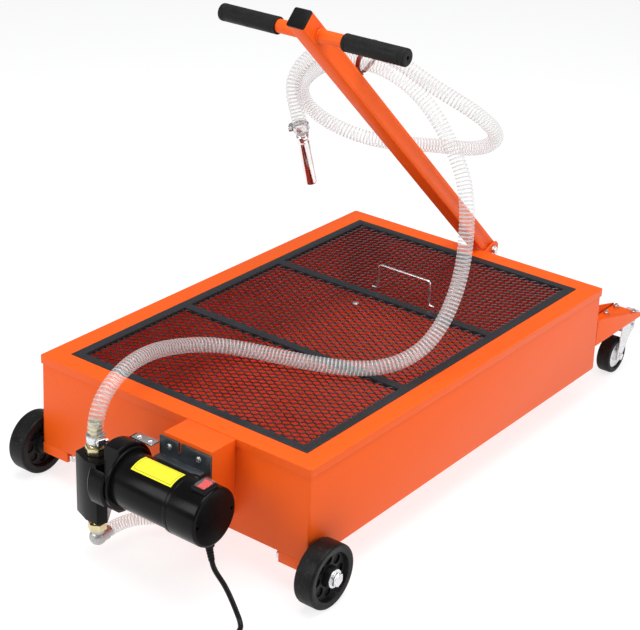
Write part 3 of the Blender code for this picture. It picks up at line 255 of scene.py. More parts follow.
LOOKS = {
    "orange": finished("orange_powder_coat", (0.82, 0.102, 0.006), 0.42, tone=(0.02, 4.0),
        specks=((0.7, 0.078, 0.008), 0.3, 420), worn=((0.93, 0.26, 0.09), 0.5), grain=(950, 0.0001),
        Specular_IOR_Level=0.2),
    # The tank's inside faces take a darker, redder copy of the orange: painted shade for the inside of the
    # tank, which lies in shadow.
    "inner": finished("tank_inside_painted_shade", (0.76, 0.048, 0.014), 0.36, tone=(0.05, 9.0),
        specks=((0.52, 0.03, 0.01), 0.4, 120), grain=(900, 0.00012), Specular_IOR_Level=0.3),
    "dark": finished("dark_screen_coating", (0.018, 0.02, 0.024), 0.42, 0.1, tone=(0.1, 14.0),
        specks=((0.07, 0.075, 0.085), 0.5, 380), worn=((0.26, 0.27, 0.29), 0.8, 0.0008),
        grain=(1400, 8e-05), Specular_IOR_Level=0.22),
    "mesh": finished("dark_mesh_coating", (0.026, 0.014, 0.014), 0.28, 0.15, tone=(0.12, 25.0),
        specks=((0.13, 0.11, 0.11), 0.5, 300), grain=(1600, 6e-05), Specular_IOR_Level=0.34),
    "enamel": finished("black_enamel", (0.0028, 0.0028, 0.003), 0.2, tone=(0.1, 18.0),
        worn=((0.035, 0.035, 0.037), 0.5), grain=(1300, 9e-05), Specular_IOR_Level=0.11),
    "moulding": finished("black_moulded_plastic", (0.0045, 0.0045, 0.0048), 0.36, tone=(0.1, 30.0),
        worn=((0.028, 0.028, 0.029), 0.5), grain=(1900, 0.0001), Specular_IOR_Level=0.13),
    "rubber": finished("soft_black_rubber", (0.006, 0.006, 0.0063), 0.5, tone=(0.12, 45.0),
        specks=((0.026, 0.025, 0.025), 0.35, 260), grain=(2200, 0.00014), Specular_IOR_Level=0.15,
        Sheen_Weight=0.02),
    "tyre": finished("tyre_rubber", (0.006, 0.006, 0.0063), 0.46, tone=(0.12, 26.0),
        specks=((0.045, 0.042, 0.04), 0.45, 210, 0.6, 0.75), worn=((0.035, 0.034, 0.033), 0.5, 0.0015),
        grain=(1500, 0.00016), Specular_IOR_Level=0.15),
    "hub": finished("castor_hub_plastic", (0.7, 0.705, 0.71), 0.42, tone=(0.03, 40.0),
        specks=((0.5, 0.49, 0.47), 0.5, 240), grain=(1200, 8e-05)),
    "tab": finished("grey_painted_tab", (0.6, 0.62, 0.66), 0.38, 0.25, tone=(0.04, 60.0),
        worn=((0.82, 0.82, 0.83), 0.6), grain=(1300, 8e-05)),
    "zinc": finished("bright_zinc_plate", (0.66, 0.665, 0.68), 0.26, 0.95, tone=(0.06, 90.0),
        specks=((0.42, 0.42, 0.44), 0.55, 300, 0.56, 0.7), worn=((0.86, 0.86, 0.87), 0.6),
        grain=(900, 0.0001)),
    "yellow": finished("yellow_zinc_plate", (0.66, 0.58, 0.33), 0.25, 0.95, tone=(0.07, 110.0),
        specks=((0.52, 0.56, 0.42), 0.6, 260, 0.52, 0.68), worn=((0.84, 0.8, 0.62), 0.6),
        grain=(1000, 0.0001)),
    "dark_zinc": finished("dark_zinc_plate", (0.05, 0.058, 0.066), 0.34, 0.45, tone=(0.08, 30.0),
        specks=((0.11, 0.12, 0.13), 0.5, 500), worn=((0.34, 0.35, 0.37), 0.8), grain=(1100, 0.0001),
        Specular_IOR_Level=0.35),
    "chrome": finished("polished_chrome", (0.78, 0.76, 0.76), 0.09, 1.0, tone=(0.05, 60.0),
        specks=((0.48, 0.44, 0.43), 0.4, 350), grain=(700, 3e-05)),
    "cast": finished("cast_grey_metal", (0.46, 0.46, 0.45), 0.4, 0.75, tone=(0.07, 70.0),
        specks=((0.26, 0.25, 0.24), 0.6, 330, 0.55, 0.68), grain=(800, 0.00025, 4.0)),
    "core": finished("laminated_core", (0.3, 0.17, 0.1), 0.45, 0.7, tone=(0.1, 80.0),
        specks=((0.1, 0.08, 0.07), 0.5, 220), grain=(2600, 0.0002, 1.0, (0.05, 1, 1), 0.9)),
    "steel": finished("ground_steel", (0.52, 0.52, 0.53), 0.24, 1.0, tone=(0.06, 90.0, 2.0, (6, 1, 1)),
        grain=(3000, 4e-05, 1.0, (0.06, 1, 1))),
    "red": finished("red_moulded_plastic", (0.62, 0.025, 0.03), 0.24, tone=(0.05, 120.0),
        grain=(2400, 4e-05), Coat_Weight=0.4, Coat_Roughness=0.1),
    "clip": finished("dark_red_plastic", (0.16, 0.014, 0.009), 0.38, tone=(0.08, 60.0),
        worn=((0.36, 0.07, 0.04), 0.6), grain=(1700, 8e-05)),
    "label": finished("yellow_label", (0.93, 0.84, 0.02), 0.4, tone=(0.02, 60.0),
        specks=((0.8, 0.7, 0.02), 0.35, 300), grain=(1500, 4e-05), Coat_Weight=0.3, Coat_Roughness=0.2),
    "ink": finished("label_border_ink", (0.03, 0.028, 0.012), 0.42, tone=(0.08, 200.0),
        specks=((0.2, 0.17, 0.02), 0.4, 700), grain=(1500, 3e-05)),
    "cord": finished("black_cord_jacket", (0.006, 0.006, 0.0063), 0.32, tone=(0.1, 50.0),
        specks=((0.04, 0.039, 0.038), 0.4, 300), grain=(1700, 0.00012), Specular_IOR_Level=0.16),
    "strap": finished("black_strap_fabric", (0.02, 0.02, 0.021), 0.85, tone=(0.12, 120.0),
        grain=(1900, 0.0004, 1.0, (1, 3, 1), 0.9), Sheen_Weight=0.2, Sheen_Roughness=0.5),
    "cover": clear_cover(),
}

# CAD nodes that are shown as they are, and the look that each takes.
KEPT = {"stator_core": "core", "rotor_shaft": "steel", "drive_gear": "steel", "driven_gear": "steel",
        "bearing_front": "steel", "bearing_rear": "steel"}


# ---------------------------------------------------------------- shaping helpers

# Edges that turn by more than this many degrees are shaded sharp.
SHARP_ANGLE = 32


def shaded(mesh, sharp_angle=SHARP_ANGLE):
    mesh.shade_smooth()
    mesh.set_sharp_from_angle(angle=math.radians(sharp_angle))


def new_piece(name, bm, look, body, smooth=SHARP_ANGLE):
    """Turns a bmesh into a finished piece that rides on a body; look is a key of LOOKS."""
    mesh = bpy.data.meshes.new(name)
    bmesh.ops.recalc_face_normals(bm, faces=bm.faces)
    bm.to_mesh(mesh)
    bm.free()
    piece = added(name, mesh)
    mesh.materials.append(LOOKS[look])
    shaded(mesh, smooth)
    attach(piece, body)
    return piece


def stand_in(node, name, bm, look, smooth=SHARP_ANGLE):
    """A finished piece shown in place of a CAD node, on the node's body."""
    piece = new_piece(name, bm, look, body_of(node), smooth=smooth)
    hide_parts(node)
    return piece


def body_of(node):
    return NODES[node]["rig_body"]


def applied(piece):
    """Applies every modifier on a piece."""
    graph = bpy.context.evaluated_depsgraph_get()
    mesh = bpy.data.meshes.new_from_object(piece.evaluated_get(graph))
    piece.modifiers.clear()
    piece.data = mesh
    return piece


def short_curve(before, corner, after, radius, share, steps):
    """Points that round a corner, using at most this share of the two sides that meet in it."""
    reach = min(radius, (before - corner).length * share, (after - corner).length * share)
    start = corner + (before - corner).normalized() * reach
    end = corner + (after - corner).normalized() * reach
    found = []
    for k in range(steps + 1):
        t = k / steps
        found.append(start * (1 - t) ** 2 + corner * 2 * t * (1 - t) + end * t ** 2)
    return found


def soften(profile, radius):
    """Rounds the inner corners of a (radius, height) outline with short curves."""
    points = [Vector(p) for p in profile]
    closed = points[0].x > 1e-6
    count = len(points)
    made = []
    for i, corner in enumerate(points):
        if not closed and i in (0, count - 1):
            made.append(corner)
            continue
        made += short_curve(points[i - 1], corner, points[(i + 1) % count], radius, 0.45, 3)
    return made


def turned(profile, place, radius, steps):
    """A bmesh turned about the frame's Z from (radius, height) points, its corners rounded by radius."""
    points = soften(profile, radius)
    closed = points[0].x > 1e-6
    bm = bmesh.new()
    verts = [bm.verts.new((p.x, 0, p.y)) for p in points]
    edges = [bm.edges.new(pair) for pair in zip(verts, verts[1:])]
    if closed:
        edges.append(bm.edges.new((verts[-1], verts[0])))
    bmesh.ops.spin(bm, geom=verts + edges, cent=(0, 0, 0), axis=(0, 0, 1), angle=math.tau, steps=steps,
                   use_merge=True)
    bmesh.ops.remove_doubles(bm, verts=bm.verts, dist=1e-6)
    bmesh.ops.transform(bm, matrix=place, verts=bm.verts)
    return bm


def mirrored(face):
    """A whole outline from its upper half: the same points again below the middle."""
    return face[::-1] + [(r, -h) for r, h in face]


def bar(start, end, radius, sides, edge):
    """A bmesh bar with softened rims; six sides make a hex."""
    start, end = Vector(start), Vector(end)
    bm = bmesh.new()
    bmesh.ops.create_cone(bm, cap_ends=True, segments=sides, radius1=radius, radius2=radius,
                          depth=(end - start).length)
    if edge:
        rims = [e for e in bm.edges if abs(e.verts[0].co.z - e.verts[1].co.z) < 1e-6]
        if sides <= 8:
            rims = list(bm.edges)
        bmesh.ops.bevel(bm, geom=rims, offset=edge, segments=2, affect="EDGES", profile=0.5)
    bmesh.ops.transform(bm, matrix=axis_frame((start + end) / 2, end - start), verts=bm.verts)
    return bm


def block(low, high, edge, segments, place=None):
    """A bmesh box between two corners with every edge rounded."""
    low, high = Vector(low), Vector(high)
    bm = bmesh.new()
    bmesh.ops.create_cube(bm, size=1.0)
    bmesh.ops.scale(bm, vec=high - low, verts=bm.verts)
    bmesh.ops.translate(bm, vec=(low + high) / 2, verts=bm.verts)
    bmesh.ops.bevel(bm, geom=bm.edges[:], offset=edge, segments=segments, affect="EDGES", profile=0.5)
    if place is not None:
        bmesh.ops.transform(bm, matrix=place, verts=bm.verts)
    return bm


def merged(*parts):
    """Several bmeshes as one."""
    whole = bmesh.new()
    for part in parts:
        mesh = bpy.data.meshes.new("part")
        part.to_mesh(mesh)
        part.free()
        whole.from_mesh(mesh)
        bpy.data.meshes.remove(mesh)
    return whole


def minus(piece, *tools):
    """Cuts bmesh tools out of a piece."""
    for i, tool in enumerate(tools):
        mesh = bpy.data.meshes.new("tool")
        bmesh.ops.recalc_face_normals(tool, faces=tool.faces)
        tool.to_mesh(mesh)
        tool.free()
        step = piece.modifiers.new("Cut%d" % i, "BOOLEAN")
        step.operation = "DIFFERENCE"
        step.object = added("tool", mesh)
    cutters = [m.object for m in piece.modifiers]
    bpy.context.view_layer.update()
    applied(piece)
    for cutter in cutters:
        bpy.data.objects.remove(cutter)
    shaded(piece.data)
    return piece


def rounded(node, look, edge, segments=2):
    """The CAD node again with its flat faces made whole and its edges rounded."""
    bm = bmesh.new()
    bm.from_mesh(NODES[node].data)
    bmesh.ops.remove_doubles(bm, verts=bm.verts, dist=1e-6)
    bmesh.ops.dissolve_limit(bm, angle_limit=math.radians(1.0), verts=bm.verts, edges=bm.edges)
    piece = new_piece(node + "_finish", bm, look, body_of(node))
    bevel = piece.modifiers.new("Edges", "BEVEL")
    bevel.width = edge
    bevel.segments = segments
    bevel.limit_method = "ANGLE"
    bevel.angle_limit = math.radians(30)
    bevel.use_clamp_overlap = True
    bpy.context.view_layer.update()
    applied(piece)
    shaded(piece.data)
    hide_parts(node)
    return piece


def smooth_route(points, spacing):
    """Evenly spaced points on the natural cubic spline through the route's points."""
    route = np.array(points, dtype=float)
    run = np.concatenate(([0.0], np.cumsum(np.linalg.norm(np.diff(route, axis=0), axis=1))))
    step = np.diff(run)
    slope = np.diff(route, axis=0) / step[:, None]
    count = len(route)
    system = np.eye(count)
    right = np.zeros_like(route)
    for i in range(1, count - 1):
        system[i, i - 1:i + 2] = step[i - 1], 2 * (step[i - 1] + step[i]), step[i]
        right[i] = 6 * (slope[i] - slope[i - 1])
    bend = np.linalg.solve(system, right)
    found = []
    for place in np.linspace(0.0, run[-1], round(run[-1] / spacing) + 1):
        i = min(int(np.searchsorted(run, place, side="right")) - 1, count - 2)
        a = (run[i + 1] - place) / step[i]
        b = (place - run[i]) / step[i]
        point = a * route[i] + b * route[i + 1]
        found.append(point + ((a ** 3 - a) * bend[i] + (b ** 3 - b) * bend[i + 1]) * step[i] ** 2 / 6)
    return np.array(found)


# ---------------------------------------------------------------- hoses

HOSE_RADIUS = 0.0125
SUCTION_RADIUS = 0.011
RIB_HEIGHT = 0.0008
CORD_RADIUS = 0.004

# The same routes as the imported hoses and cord, measured from the middle of the tank's underside.
DELIVERY_ROUTE = [
    (-0.049, -0.530, 0.1275), (-0.0485, -0.530, 0.157), (-0.050, -0.515, 0.191), (-0.056, -0.466, 0.219),
    (-0.068, -0.396, 0.219), (-0.078, -0.323, 0.201), (-0.060, -0.257, 0.186), (-0.007, -0.214, 0.177),
    (0.062, -0.196, 0.178), (0.126, -0.169, 0.177), (0.185, -0.130, 0.182), (0.222, -0.075, 0.206),
    (0.235, -0.028, 0.256), (0.234, 0.006, 0.318), (0.226, 0.024, 0.386), (0.210, 0.031, 0.455),
    (0.180, 0.030, 0.511), (0.138, 0.027, 0.562), (0.076, 0.020, 0.601), (0.004, 0.022, 0.607),
    (-0.063, 0.034, 0.588), (-0.117, 0.060, 0.556), (-0.164, 0.095, 0.516), (-0.189, 0.138, 0.469),
    (-0.174, 0.187, 0.424), (-0.120, 0.224, 0.399), (-0.050, 0.234, 0.402), (0.023, 0.233, 0.416),
    (0.091, 0.225, 0.430), (0.150, 0.199, 0.458), (0.183, 0.156, 0.500), (0.166, 0.113, 0.540),
    (0.111, 0.080, 0.576), (0.050, 0.059, 0.610), (-0.020, 0.038, 0.626), (-0.084, 0.019, 0.601),
    (-0.119, 0.012, 0.542), (-0.1138, 0.0195, 0.492), (-0.1112, 0.0282, 0.4586),
]
SUCTION_ROUTE = [
    (-0.048, -0.5045, -0.036), (-0.0475, -0.485, -0.036), (-0.038, -0.456, -0.036), (-0.016, -0.433, -0.035),
    (0.005, -0.414, -0.034), (0.0145, -0.394, -0.033), (0.015, -0.3768, -0.033),
]
CORD_ROUTE = [
    (0.1814, -0.530, 0.0181), (0.1837, -0.530, 0.0110), (0.1900, -0.530, 0.0020), (0.2020, -0.530, -0.0090),
    (0.2185, -0.531, -0.0280), (0.2325, -0.533, -0.0470), (0.2430, -0.5375, -0.0575),
    (0.2495, -0.5450, -0.0600), (0.2530, -0.5600, -0.0600), (0.2530, -0.5800, -0.0600),
    (0.2530, -0.5970, -0.0600),
]


def placed(route):
    return [ORIGIN + Vector(point) for point in route]


def frames_along(points):
    """A side and an up direction at each point, carried along the line without twisting."""
    ahead = np.gradient(points, axis=0)
    ahead /= np.linalg.norm(ahead, axis=1)[:, None]
    side = np.cross(ahead[0], (0.3, 0.2, 1.0))
    sides = []
    for direction in ahead:
        side = side - direction * side.dot(direction)
        side /= np.linalg.norm(side)
        sides.append(side)
    sides = np.array(sides)
    return sides, np.cross(ahead, sides)


def ribbed_hose(name, route, radius, pitch, look, around=20, per_pitch=5):
    """A hose whose wall rises over a spiral; each point keeps its height on the spiral as 'rib'."""
    points = smooth_route(placed(route), pitch / per_pitch)
    side, up = frames_along(points)
    step = np.linalg.norm(np.diff(points, axis=0), axis=1)
    run = np.concatenate(([0.0], np.cumsum(step)))
    turn = np.linspace(0, math.tau, around, endpoint=False)
    wave = np.cos(math.tau * run[:, None] / pitch - turn[None, :])
    reach = radius - RIB_HEIGHT * (0.5 - 0.5 * wave)
    rings = points[:, None, :] + reach[..., None] * (
        side[:, None, :] * np.cos(turn)[None, :, None] + up[:, None, :] * np.sin(turn)[None, :, None])
    count = len(points)
    faces = []
    for i in range(count - 1):
        for j in range(around):
            k = (j + 1) % around
            faces.append((i * around + j, i * around + k, (i + 1) * around + k, (i + 1) * around + j))
    faces.append(tuple(range(around))[::-1])
    faces.append(tuple((count - 1) * around + j for j in range(around)))
    mesh = bpy.data.meshes.new(name)
    mesh.from_pydata(rings.reshape(-1, 3).tolist(), [], faces)
    rib = mesh.attributes.new("rib", "FLOAT", "POINT")
    rib.data.foreach_set("value", wave.reshape(-1).astype(np.float32))
    mesh.shade_smooth()
    mesh.materials.append(look)
    return added(name, mesh), points


def clear_vinyl(name, low, high):
    """Clear hose wall with a stiffer, whiter spiral in it."""
    look = Look(name, (0.90, 0.895, 0.89), 0.10, Specular_IOR_Level=0.8)
    wave = look.node("Attribute", attribute_name="rib").outputs["Fac"]
    look.blend(look.remap(wave, 0.15, 0.60, 0.0, 0.9), (0.56, 0.545, 0.54))
    look.blend(look.remap(look.noise(30, 3.0), 0.4, 0.7, 0.0, 0.2), (0.95, 0.94, 0.93))
    # Towards the hose's outline the colour is blended to dark grey by the facing angle: a painted dark edge
    # that stands in for refraction in the clear wall.
    rim = look.node("LayerWeight", {"Blend": 0.30}).outputs["Facing"]
    look.blend(look.remap(rim, 0.60, 0.92, 0.0, 0.85), (0.17, 0.155, 0.155))
    wall = look.remap(wave, 0.15, 0.70, low, high)
    edge = look.remap(rim, 0.50, 0.92, 0.0, 0.55)
    alpha = look.node("Math", {0: wall, 1: edge}, operation="ADD", use_clamp=True).outputs[0]
    look.tree.links.new(alpha, look.shader.inputs["Alpha"])
    return look.grain(240, 0.0002).made


def make_delivery_hose():
    """The long clear hose: over the screen, up to the clip, round twice and down to the nozzle."""
    look = clear_vinyl("clear_ribbed_vinyl", 0.13, 0.62)
    hose, points = ribbed_hose("delivery_hose_ribbed", DELIVERY_ROUTE, HOSE_RADIUS, 0.0064, look, 24, 6)
    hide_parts("delivery_hose")
    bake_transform(hose)


def make_suction_hose():
    look = clear_vinyl("clear_suction_vinyl", 0.16, 0.64)
    hose, _ = ribbed_hose("suction_hose_ribbed", SUCTION_ROUTE, SUCTION_RADIUS, 0.0048, look)
    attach(hose, "chassis")
    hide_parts("suction_hose")


# ---------------------------------------------------------------- power cord

COIL = middle("cord_coil")
COIL_FLOOR = corners("cord_coil")[0].z
COIL_RADII = (0.052, 0.044, 0.036)
COIL_TURNS = 5 + 65 / 360
# Half the height of the plug, which lies on its flat side, and from there its axis above the floor.
PLUG_HALF = 0.0105
PLUG_HEIGHT = corners("power_plug")[0].z + PLUG_HALF
# How far right of the middle the cord comes out of the motor's end cap.
CORD_X = 0.175


def ease(value, start, end):
    t = min(1.0, max(0.0, (value - start) / (end - start)))
    return t * t * (3 - 2 * t)


def coil_points():
    """Three turns inwards on the floor, then two and a bit outwards on top of them."""
    outer, mid, inner = COIL_RADII
    low = COIL_FLOOR + CORD_RADIUS
    found = []
    for i in range(round(COIL_TURNS * 40) + 1):
        t = COIL_TURNS * i / round(COIL_TURNS * 40)
        inwards = (outer - mid) * ease(t, 0.6, 1.0) + (mid - inner) * ease(t, 1.6, 2.0)
        outwards = (mid - inner) * ease(t, 3.2, 3.6) + (outer - mid) * ease(t, 4.2, 4.6)
        radius = outer - inwards + outwards
        turn = math.pi + math.tau * t
        height = low + 2.05 * CORD_RADIUS * ease(t, 2.4, 2.85)
        found.append(Vector((COIL.x + radius * math.cos(turn), COIL.y + radius * math.sin(turn), height)))
    return found


def make_power_cord():
    """The lead as one line: down from the end cap, along the floor, round the coil and out to its plug."""
    lead = [Vector(p) for p in smooth_route(placed(CORD_ROUTE), 0.005)]
    for point in lead:
        point.z = max(point.z, COIL_FLOOR + CORD_RADIUS)
    turns = coil_points()
    heading = (turns[-1] - turns[-2]).normalized()
    heading.z = 0
    run_out = 0.0264
    bend = 0.040
    swing = math.atan2(-heading.y, heading.x)
    tail = []
    for k in range(1, 6):
        tail.append(turns[-1] + heading * run_out * k / 5)
    corner = tail[-1]
    centre = corner + Vector((-heading.y, heading.x, 0)) * bend
    for k in range(1, 8):
        turn = -swing * (1 - k / 7) - math.pi / 2
        tail.append(Vector((centre.x + bend * math.cos(turn), centre.y + bend * math.sin(turn), corner.z)))
    for k, point in enumerate(tail):
        point.z += (PLUG_HEIGHT - point.z) * ease(k, 0, len(tail) - 1)
    points = lead + turns + tail
    curve = bpy.data.curves.new("power_cord_lead", "CURVE")
    curve.dimensions = "3D"
    curve.bevel_depth = CORD_RADIUS
    curve.bevel_resolution = 5
    curve.use_fill_caps = True
    spline = curve.splines.new("POLY")
    spline.points.add(len(points) - 1)
    for spot, point in zip(spline.points, points):
        spot.co = (*point, 1)
    spline.use_smooth = True
    cord = added("power_cord_lead", curve)
    curve.materials.append(LOOKS["cord"])
    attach(cord, "chassis")
    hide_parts("power_cord", "cord_coil")
    make_plug(points[-1])
    make_tie()
    make_gland()


def ribbed_relief(start, end, wide, narrow):
    """A strain relief: a soft taper from wide to narrow with grooves between its ribs."""
    ribs = 5
    start, end = Vector(start), Vector(end)
    long = (end - start).length
    profile = [(0, long), (narrow, long)]
    for i in range(ribs - 1, -1, -1):
        high = (i + 0.85) / ribs
        low = (i + 0.25) / ribs
        for share in (high, low):
            profile.append((wide + (narrow - wide) * share, long * share))
        groove = wide + (narrow - wide) * low - 0.0008
        profile.append((groove, long * low - 0.0002))
        profile.append((groove, long * (i + 0.02) / ribs))
    profile += [(wide, 0.0), (0, 0)]
    return turned(profile, axis_frame(start, end - start), 0.0003, 40)


def make_gland():
    top = corners("cord_gland")[1].z
    axis = Vector((ORIGIN.x + CORD_X, middle("cord_gland").y, top))
    flange = bar(axis - Z_AXIS * 0.0083, axis - Z_AXIS * 0.0125, 0.0088, 40, 0.0008)
    neck = bar(axis, axis - Z_AXIS * 0.009, 0.0058, 32, 0.0003)
    end = ORIGIN + Vector(CORD_ROUTE[0]) + Vector((-0.0003, 0, 0.0009))
    relief = ribbed_relief(axis - Z_AXIS * 0.0115, end, 0.0060, 0.0047)
    piece = new_piece("cord_relief", merged(flange, neck, relief), "moulding", "chassis")
    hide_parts("cord_gland")


def make_plug(start):
    """A moulded two-blade plug lying on its flat side."""
    relief = ribbed_relief(start + X_AXIS * 0.020, start, 0.0078, 0.0050)
    low = start + Vector((0.018, -0.0130, -PLUG_HALF))
    high = start + Vector((0.050, 0.0130, PLUG_HALF))
    body = block(low, high, 0.0042, 5)
    grips = []
    for i in range(5):
        x = start.x + 0.025 + 0.0045 * i
        for side in (-1, 1):
            y = start.y + side * 0.0128
            low = (x, y - 0.0006, start.z - 0.0060)
            high = (x + 0.0018, y + 0.0002 * side + 0.0004, start.z + 0.0060)
            grips.append(block(low, high, 0.0003, 1))
    stand_in("power_plug", "plug_body", merged(body, relief, *grips), "moulding")
    blades = []
    for side in (-1, 1):
        spot = start + Y_AXIS * side * 0.0063
        low = spot + Vector((0.046, -0.0008, -0.0032))
        blades.append(block(low, spot + Vector((0.0653, 0.0008, 0.0032)), 0.0005, 2))
    new_piece("plug_blades", merged(*blades), "zinc", "chassis")


def make_tie():
    """A soft strap round the coil's bundle, with its tail pressed flat on top."""
    outer = COIL_RADII[0] + CORD_RADIUS + 0.0006
    inner = COIL_RADII[2] - CORD_RADIUS - 0.0006
    low = COIL_FLOOR + 0.0001
    high = COIL_FLOOR + 4.05 * CORD_RADIUS + 0.0009
    wide = 0.0055
    thick = 0.0011
    corner = 0.0042
    loop = []
    for cx, cz, start in ((outer - corner, high - corner, 0), (inner + corner, high - corner, 90),
                          (inner + corner, low + corner, 180), (outer - corner, low + corner, 270)):
        for k in range(7):
            turn = math.radians(start + 15 * k)
            loop.append((cx + corner * math.cos(turn), cz + corner * math.sin(turn), turn))
    bm = bmesh.new()
    place = Matrix.Translation((COIL.x, COIL.y, 0)) @ Matrix.Rotation(math.radians(20), 4, "Z")
    rings = []
    for x, z, turn in loop:
        ring = []
        for dy, depth in ((-wide, 0), (wide, 0), (wide, thick), (-wide, thick)):
            spot = Vector((x - depth * math.cos(turn), dy, z - depth * math.sin(turn)))
            ring.append(bm.verts.new(place @ spot))
        rings.append(ring)
    for a, b in zip(rings, rings[1:] + rings[:1]):
        for k in range(4):
            bm.faces.new((a[k], a[(k + 1) % 4], b[(k + 1) % 4], b[k]))
    tail = block((inner + 0.004, -wide, high - 0.0002), (outer - 0.006, wide, high + 0.0009), 0.0003, 2,
                 place)
    new_piece("coil_tie", merged(bm, tail), "strap", "chassis")


# ---------------------------------------------------------------- tank and screen

CELL_LONG = 0.0227
CELL_SHORT = 0.0130
# A point this near to the tank's box belongs to the outer face of its sheet.
SKIN = 0.0013


def panel_strands(low, high, level):
    """Raised expanded metal: zigzag strands side by side that meet at their corners, each strand leaning."""
    cells = round((high.x - low.x) / CELL_LONG)
    long = (high.x - low.x) / cells
    rows = 2 * round((high.y - low.y) / CELL_SHORT)
    half = (high.y - low.y) / rows
    bond = 0.0022
    lean = math.radians(38)
    wide, thick = 0.0011, 0.0006
    verts = []
    faces = []
    for row in range(rows):
        y_low = low.y + row * half
        line = []
        for i in range(2 * cells + 1):
            x = low.x + i * long / 2
            upper = (i + row) % 2 == 0
            y = y_low + half - wide * 0.5 if upper else y_low + wide * 0.5
            z = level + (0.0006 if upper else -0.0006)
            for shift in (-bond, bond):
                line.append((min(high.x, max(low.x, x + shift)), y, z))
        start = len(verts)
        for x, y, z in line:
            for across, rise in ((-wide, -thick), (wide, -thick), (wide, thick), (-wide, thick)):
                dy = across * math.cos(lean) - rise * math.sin(lean)
                dz = across * math.sin(lean) + rise * math.cos(lean)
                verts.append((x, min(high.y, max(low.y, y + dy)), z + dz))
        count = len(line)
        for i in range(count - 1):
            a, b = start + 4 * i, start + 4 * (i + 1)
            for k in range(4):
                n = (k + 1) % 4
                faces.append((a + k, a + n, b + n, b + k))
        faces.append((start + 3, start + 2, start + 1, start))
        last = start + 4 * (count - 1)
        faces.append((last, last + 1, last + 2, last + 3))
    return verts, faces


def make_mesh_panels():
    for place in ("front", "middle", "rear"):
        node = "screen_mesh_" + place
        low, high = corners(node)
        level = (low.z + high.z) / 2
        verts, faces = panel_strands(low, high, level)
        bm = bmesh.new()
        made = [bm.verts.new(v) for v in verts]
        for face in faces:
            bm.faces.new([made[i] for i in face])
        stand_in(node, "expanded_metal_" + place, bm, "mesh", smooth=20)


def fillet(points, radius, steps):
    """A wire's corner points with each corner turned into a short bend."""
    points = [Vector(p) for p in points]
    made = [points[0]]
    for before, corner, after in zip(points, points[1:], points[2:]):
        made += short_curve(before, corner, after, radius, 0.48, steps)
    return made + [points[-1]]


def wire(points, radius):
    """A round wire along points as a bmesh."""
    sides = 16
    line = np.array([tuple(p) for p in points], dtype=float)
    side, up = frames_along(line)
    bm = bmesh.new()
    rings = []
    for point, s, u in zip(line, side, up):
        ring = []
        for j in range(sides):
            turn = math.tau * j / sides
            ring.append(bm.verts.new(point + radius * (s * math.cos(turn) + u * math.sin(turn))))
        rings.append(ring)
    for a, b in zip(rings, rings[1:]):
        for j in range(sides):
            k = (j + 1) % sides
            bm.faces.new((a[j], a[k], b[k], b[j]))
    bm.faces.new(rings[0][::-1])
    bm.faces.new(rings[-1])
    return bm


def make_bail():
    """The wire lift handle, its two feet welded to the mesh."""
    low, high = corners("screen_bail")
    radius = (high.y - low.y) / 2
    y = (low.y + high.y) / 2
    foot = low.z + radius
    top = high.z - radius
    left, right = low.x + 0.012, high.x - 0.012
    line = fillet([(low.x, y, foot), (left, y, foot), (left, y, top), (right, y, top), (right, y, foot),
                   (high.x, y, foot)], 0.007, 8)
    stand_in("screen_bail", "screen_bail_wire", wire(line, radius), "zinc")
    dots = []
    for x in (low.x + 0.004, high.x - 0.004):
        dots.append(turned([(0, 0.0012), (0.0030, 0.0008), (0.0040, -0.0008), (0, -0.0008)],
                           Matrix.Translation((x, y, foot - radius + 0.0002)), 0.0005, 24))
    new_piece("bail_welds", merged(*dots), "mesh", "screen")
    level = middle("screen_mesh_middle").z
    rivet = [(0, 0.0022), (0.0030, 0.0020), (0.0055, 0.0012), (0.0060, 0.0004), (0.0, 0.0004)]
    spot = at(-0.020, 0.080, 0)
    place = Matrix.Translation((spot.x, spot.y, level + 0.0002))
    new_piece("screen_rivet", turned(rivet, place, 0.0006, 32), "zinc", "screen")


def make_tank():
    shell = rounded("tank_shell", "orange", 0.0007)
    rim_low, rim_high = corners("rim_frame")
    rim_under = ORIGIN.z + 0.145
    # The faces inside the tank take the darker copy of the orange, which is painted shade.
    shell.data.materials.append(LOOKS["inner"])
    for vert in shell.data.vertices:
        for i in (0, 1):
            for wall, edge in ((TANK_LOW[i], rim_low[i]), (TANK_HIGH[i], rim_high[i])):
                if abs(vert.co[i] - wall) < SKIN and vert.co.z < rim_under:
                    vert.co[i] += (edge - wall) * 0.9
    for face in shell.data.polygons:
        spot = face.center
        inside = all(TANK_LOW[i] + SKIN < spot[i] < TANK_HIGH[i] - SKIN for i in (0, 1))
        if inside and spot.z > TANK_LOW.z + SKIN:
            face.material_index = 1
    rounded("rim_frame", "orange", 0.0009, 3)
    rounded("screen_frame", "dark", 0.0009, 3)
    make_mesh_panels()
    make_bail()
    rounded("sump_strainer", "yellow", 0.0003)
    rounded("sump_elbow", "yellow", 0.0003)


# ---------------------------------------------------------------- handle

PIVOT = middle("handle_bolt").copy()
PIVOT.x = ORIGIN.x
POST_HALF = 0.0165


def hex_bolt(place, out, length, across, thick, shank, washer=None):
    """A hex head with a chamfered face, its shank behind it, and a washer under it if given."""
    out = Vector(out)
    parts = [bar(place, place + out * thick, across, 6, 0.0005),
             turned([(0, 0.0005), (across * 0.78, 0.0005), (across * 0.84, -0.0002), (0, -0.0002)],
                    axis_frame(place + out * thick, out), 0.0001, 40)]
    if length:
        parts.append(bar(place - out * length, place + out * 0.0005, shank, 28, 0.0004))
    if washer:
        parts.append(bar(place - out * 0.0016, place, washer, 40, 0.0003))
    return parts


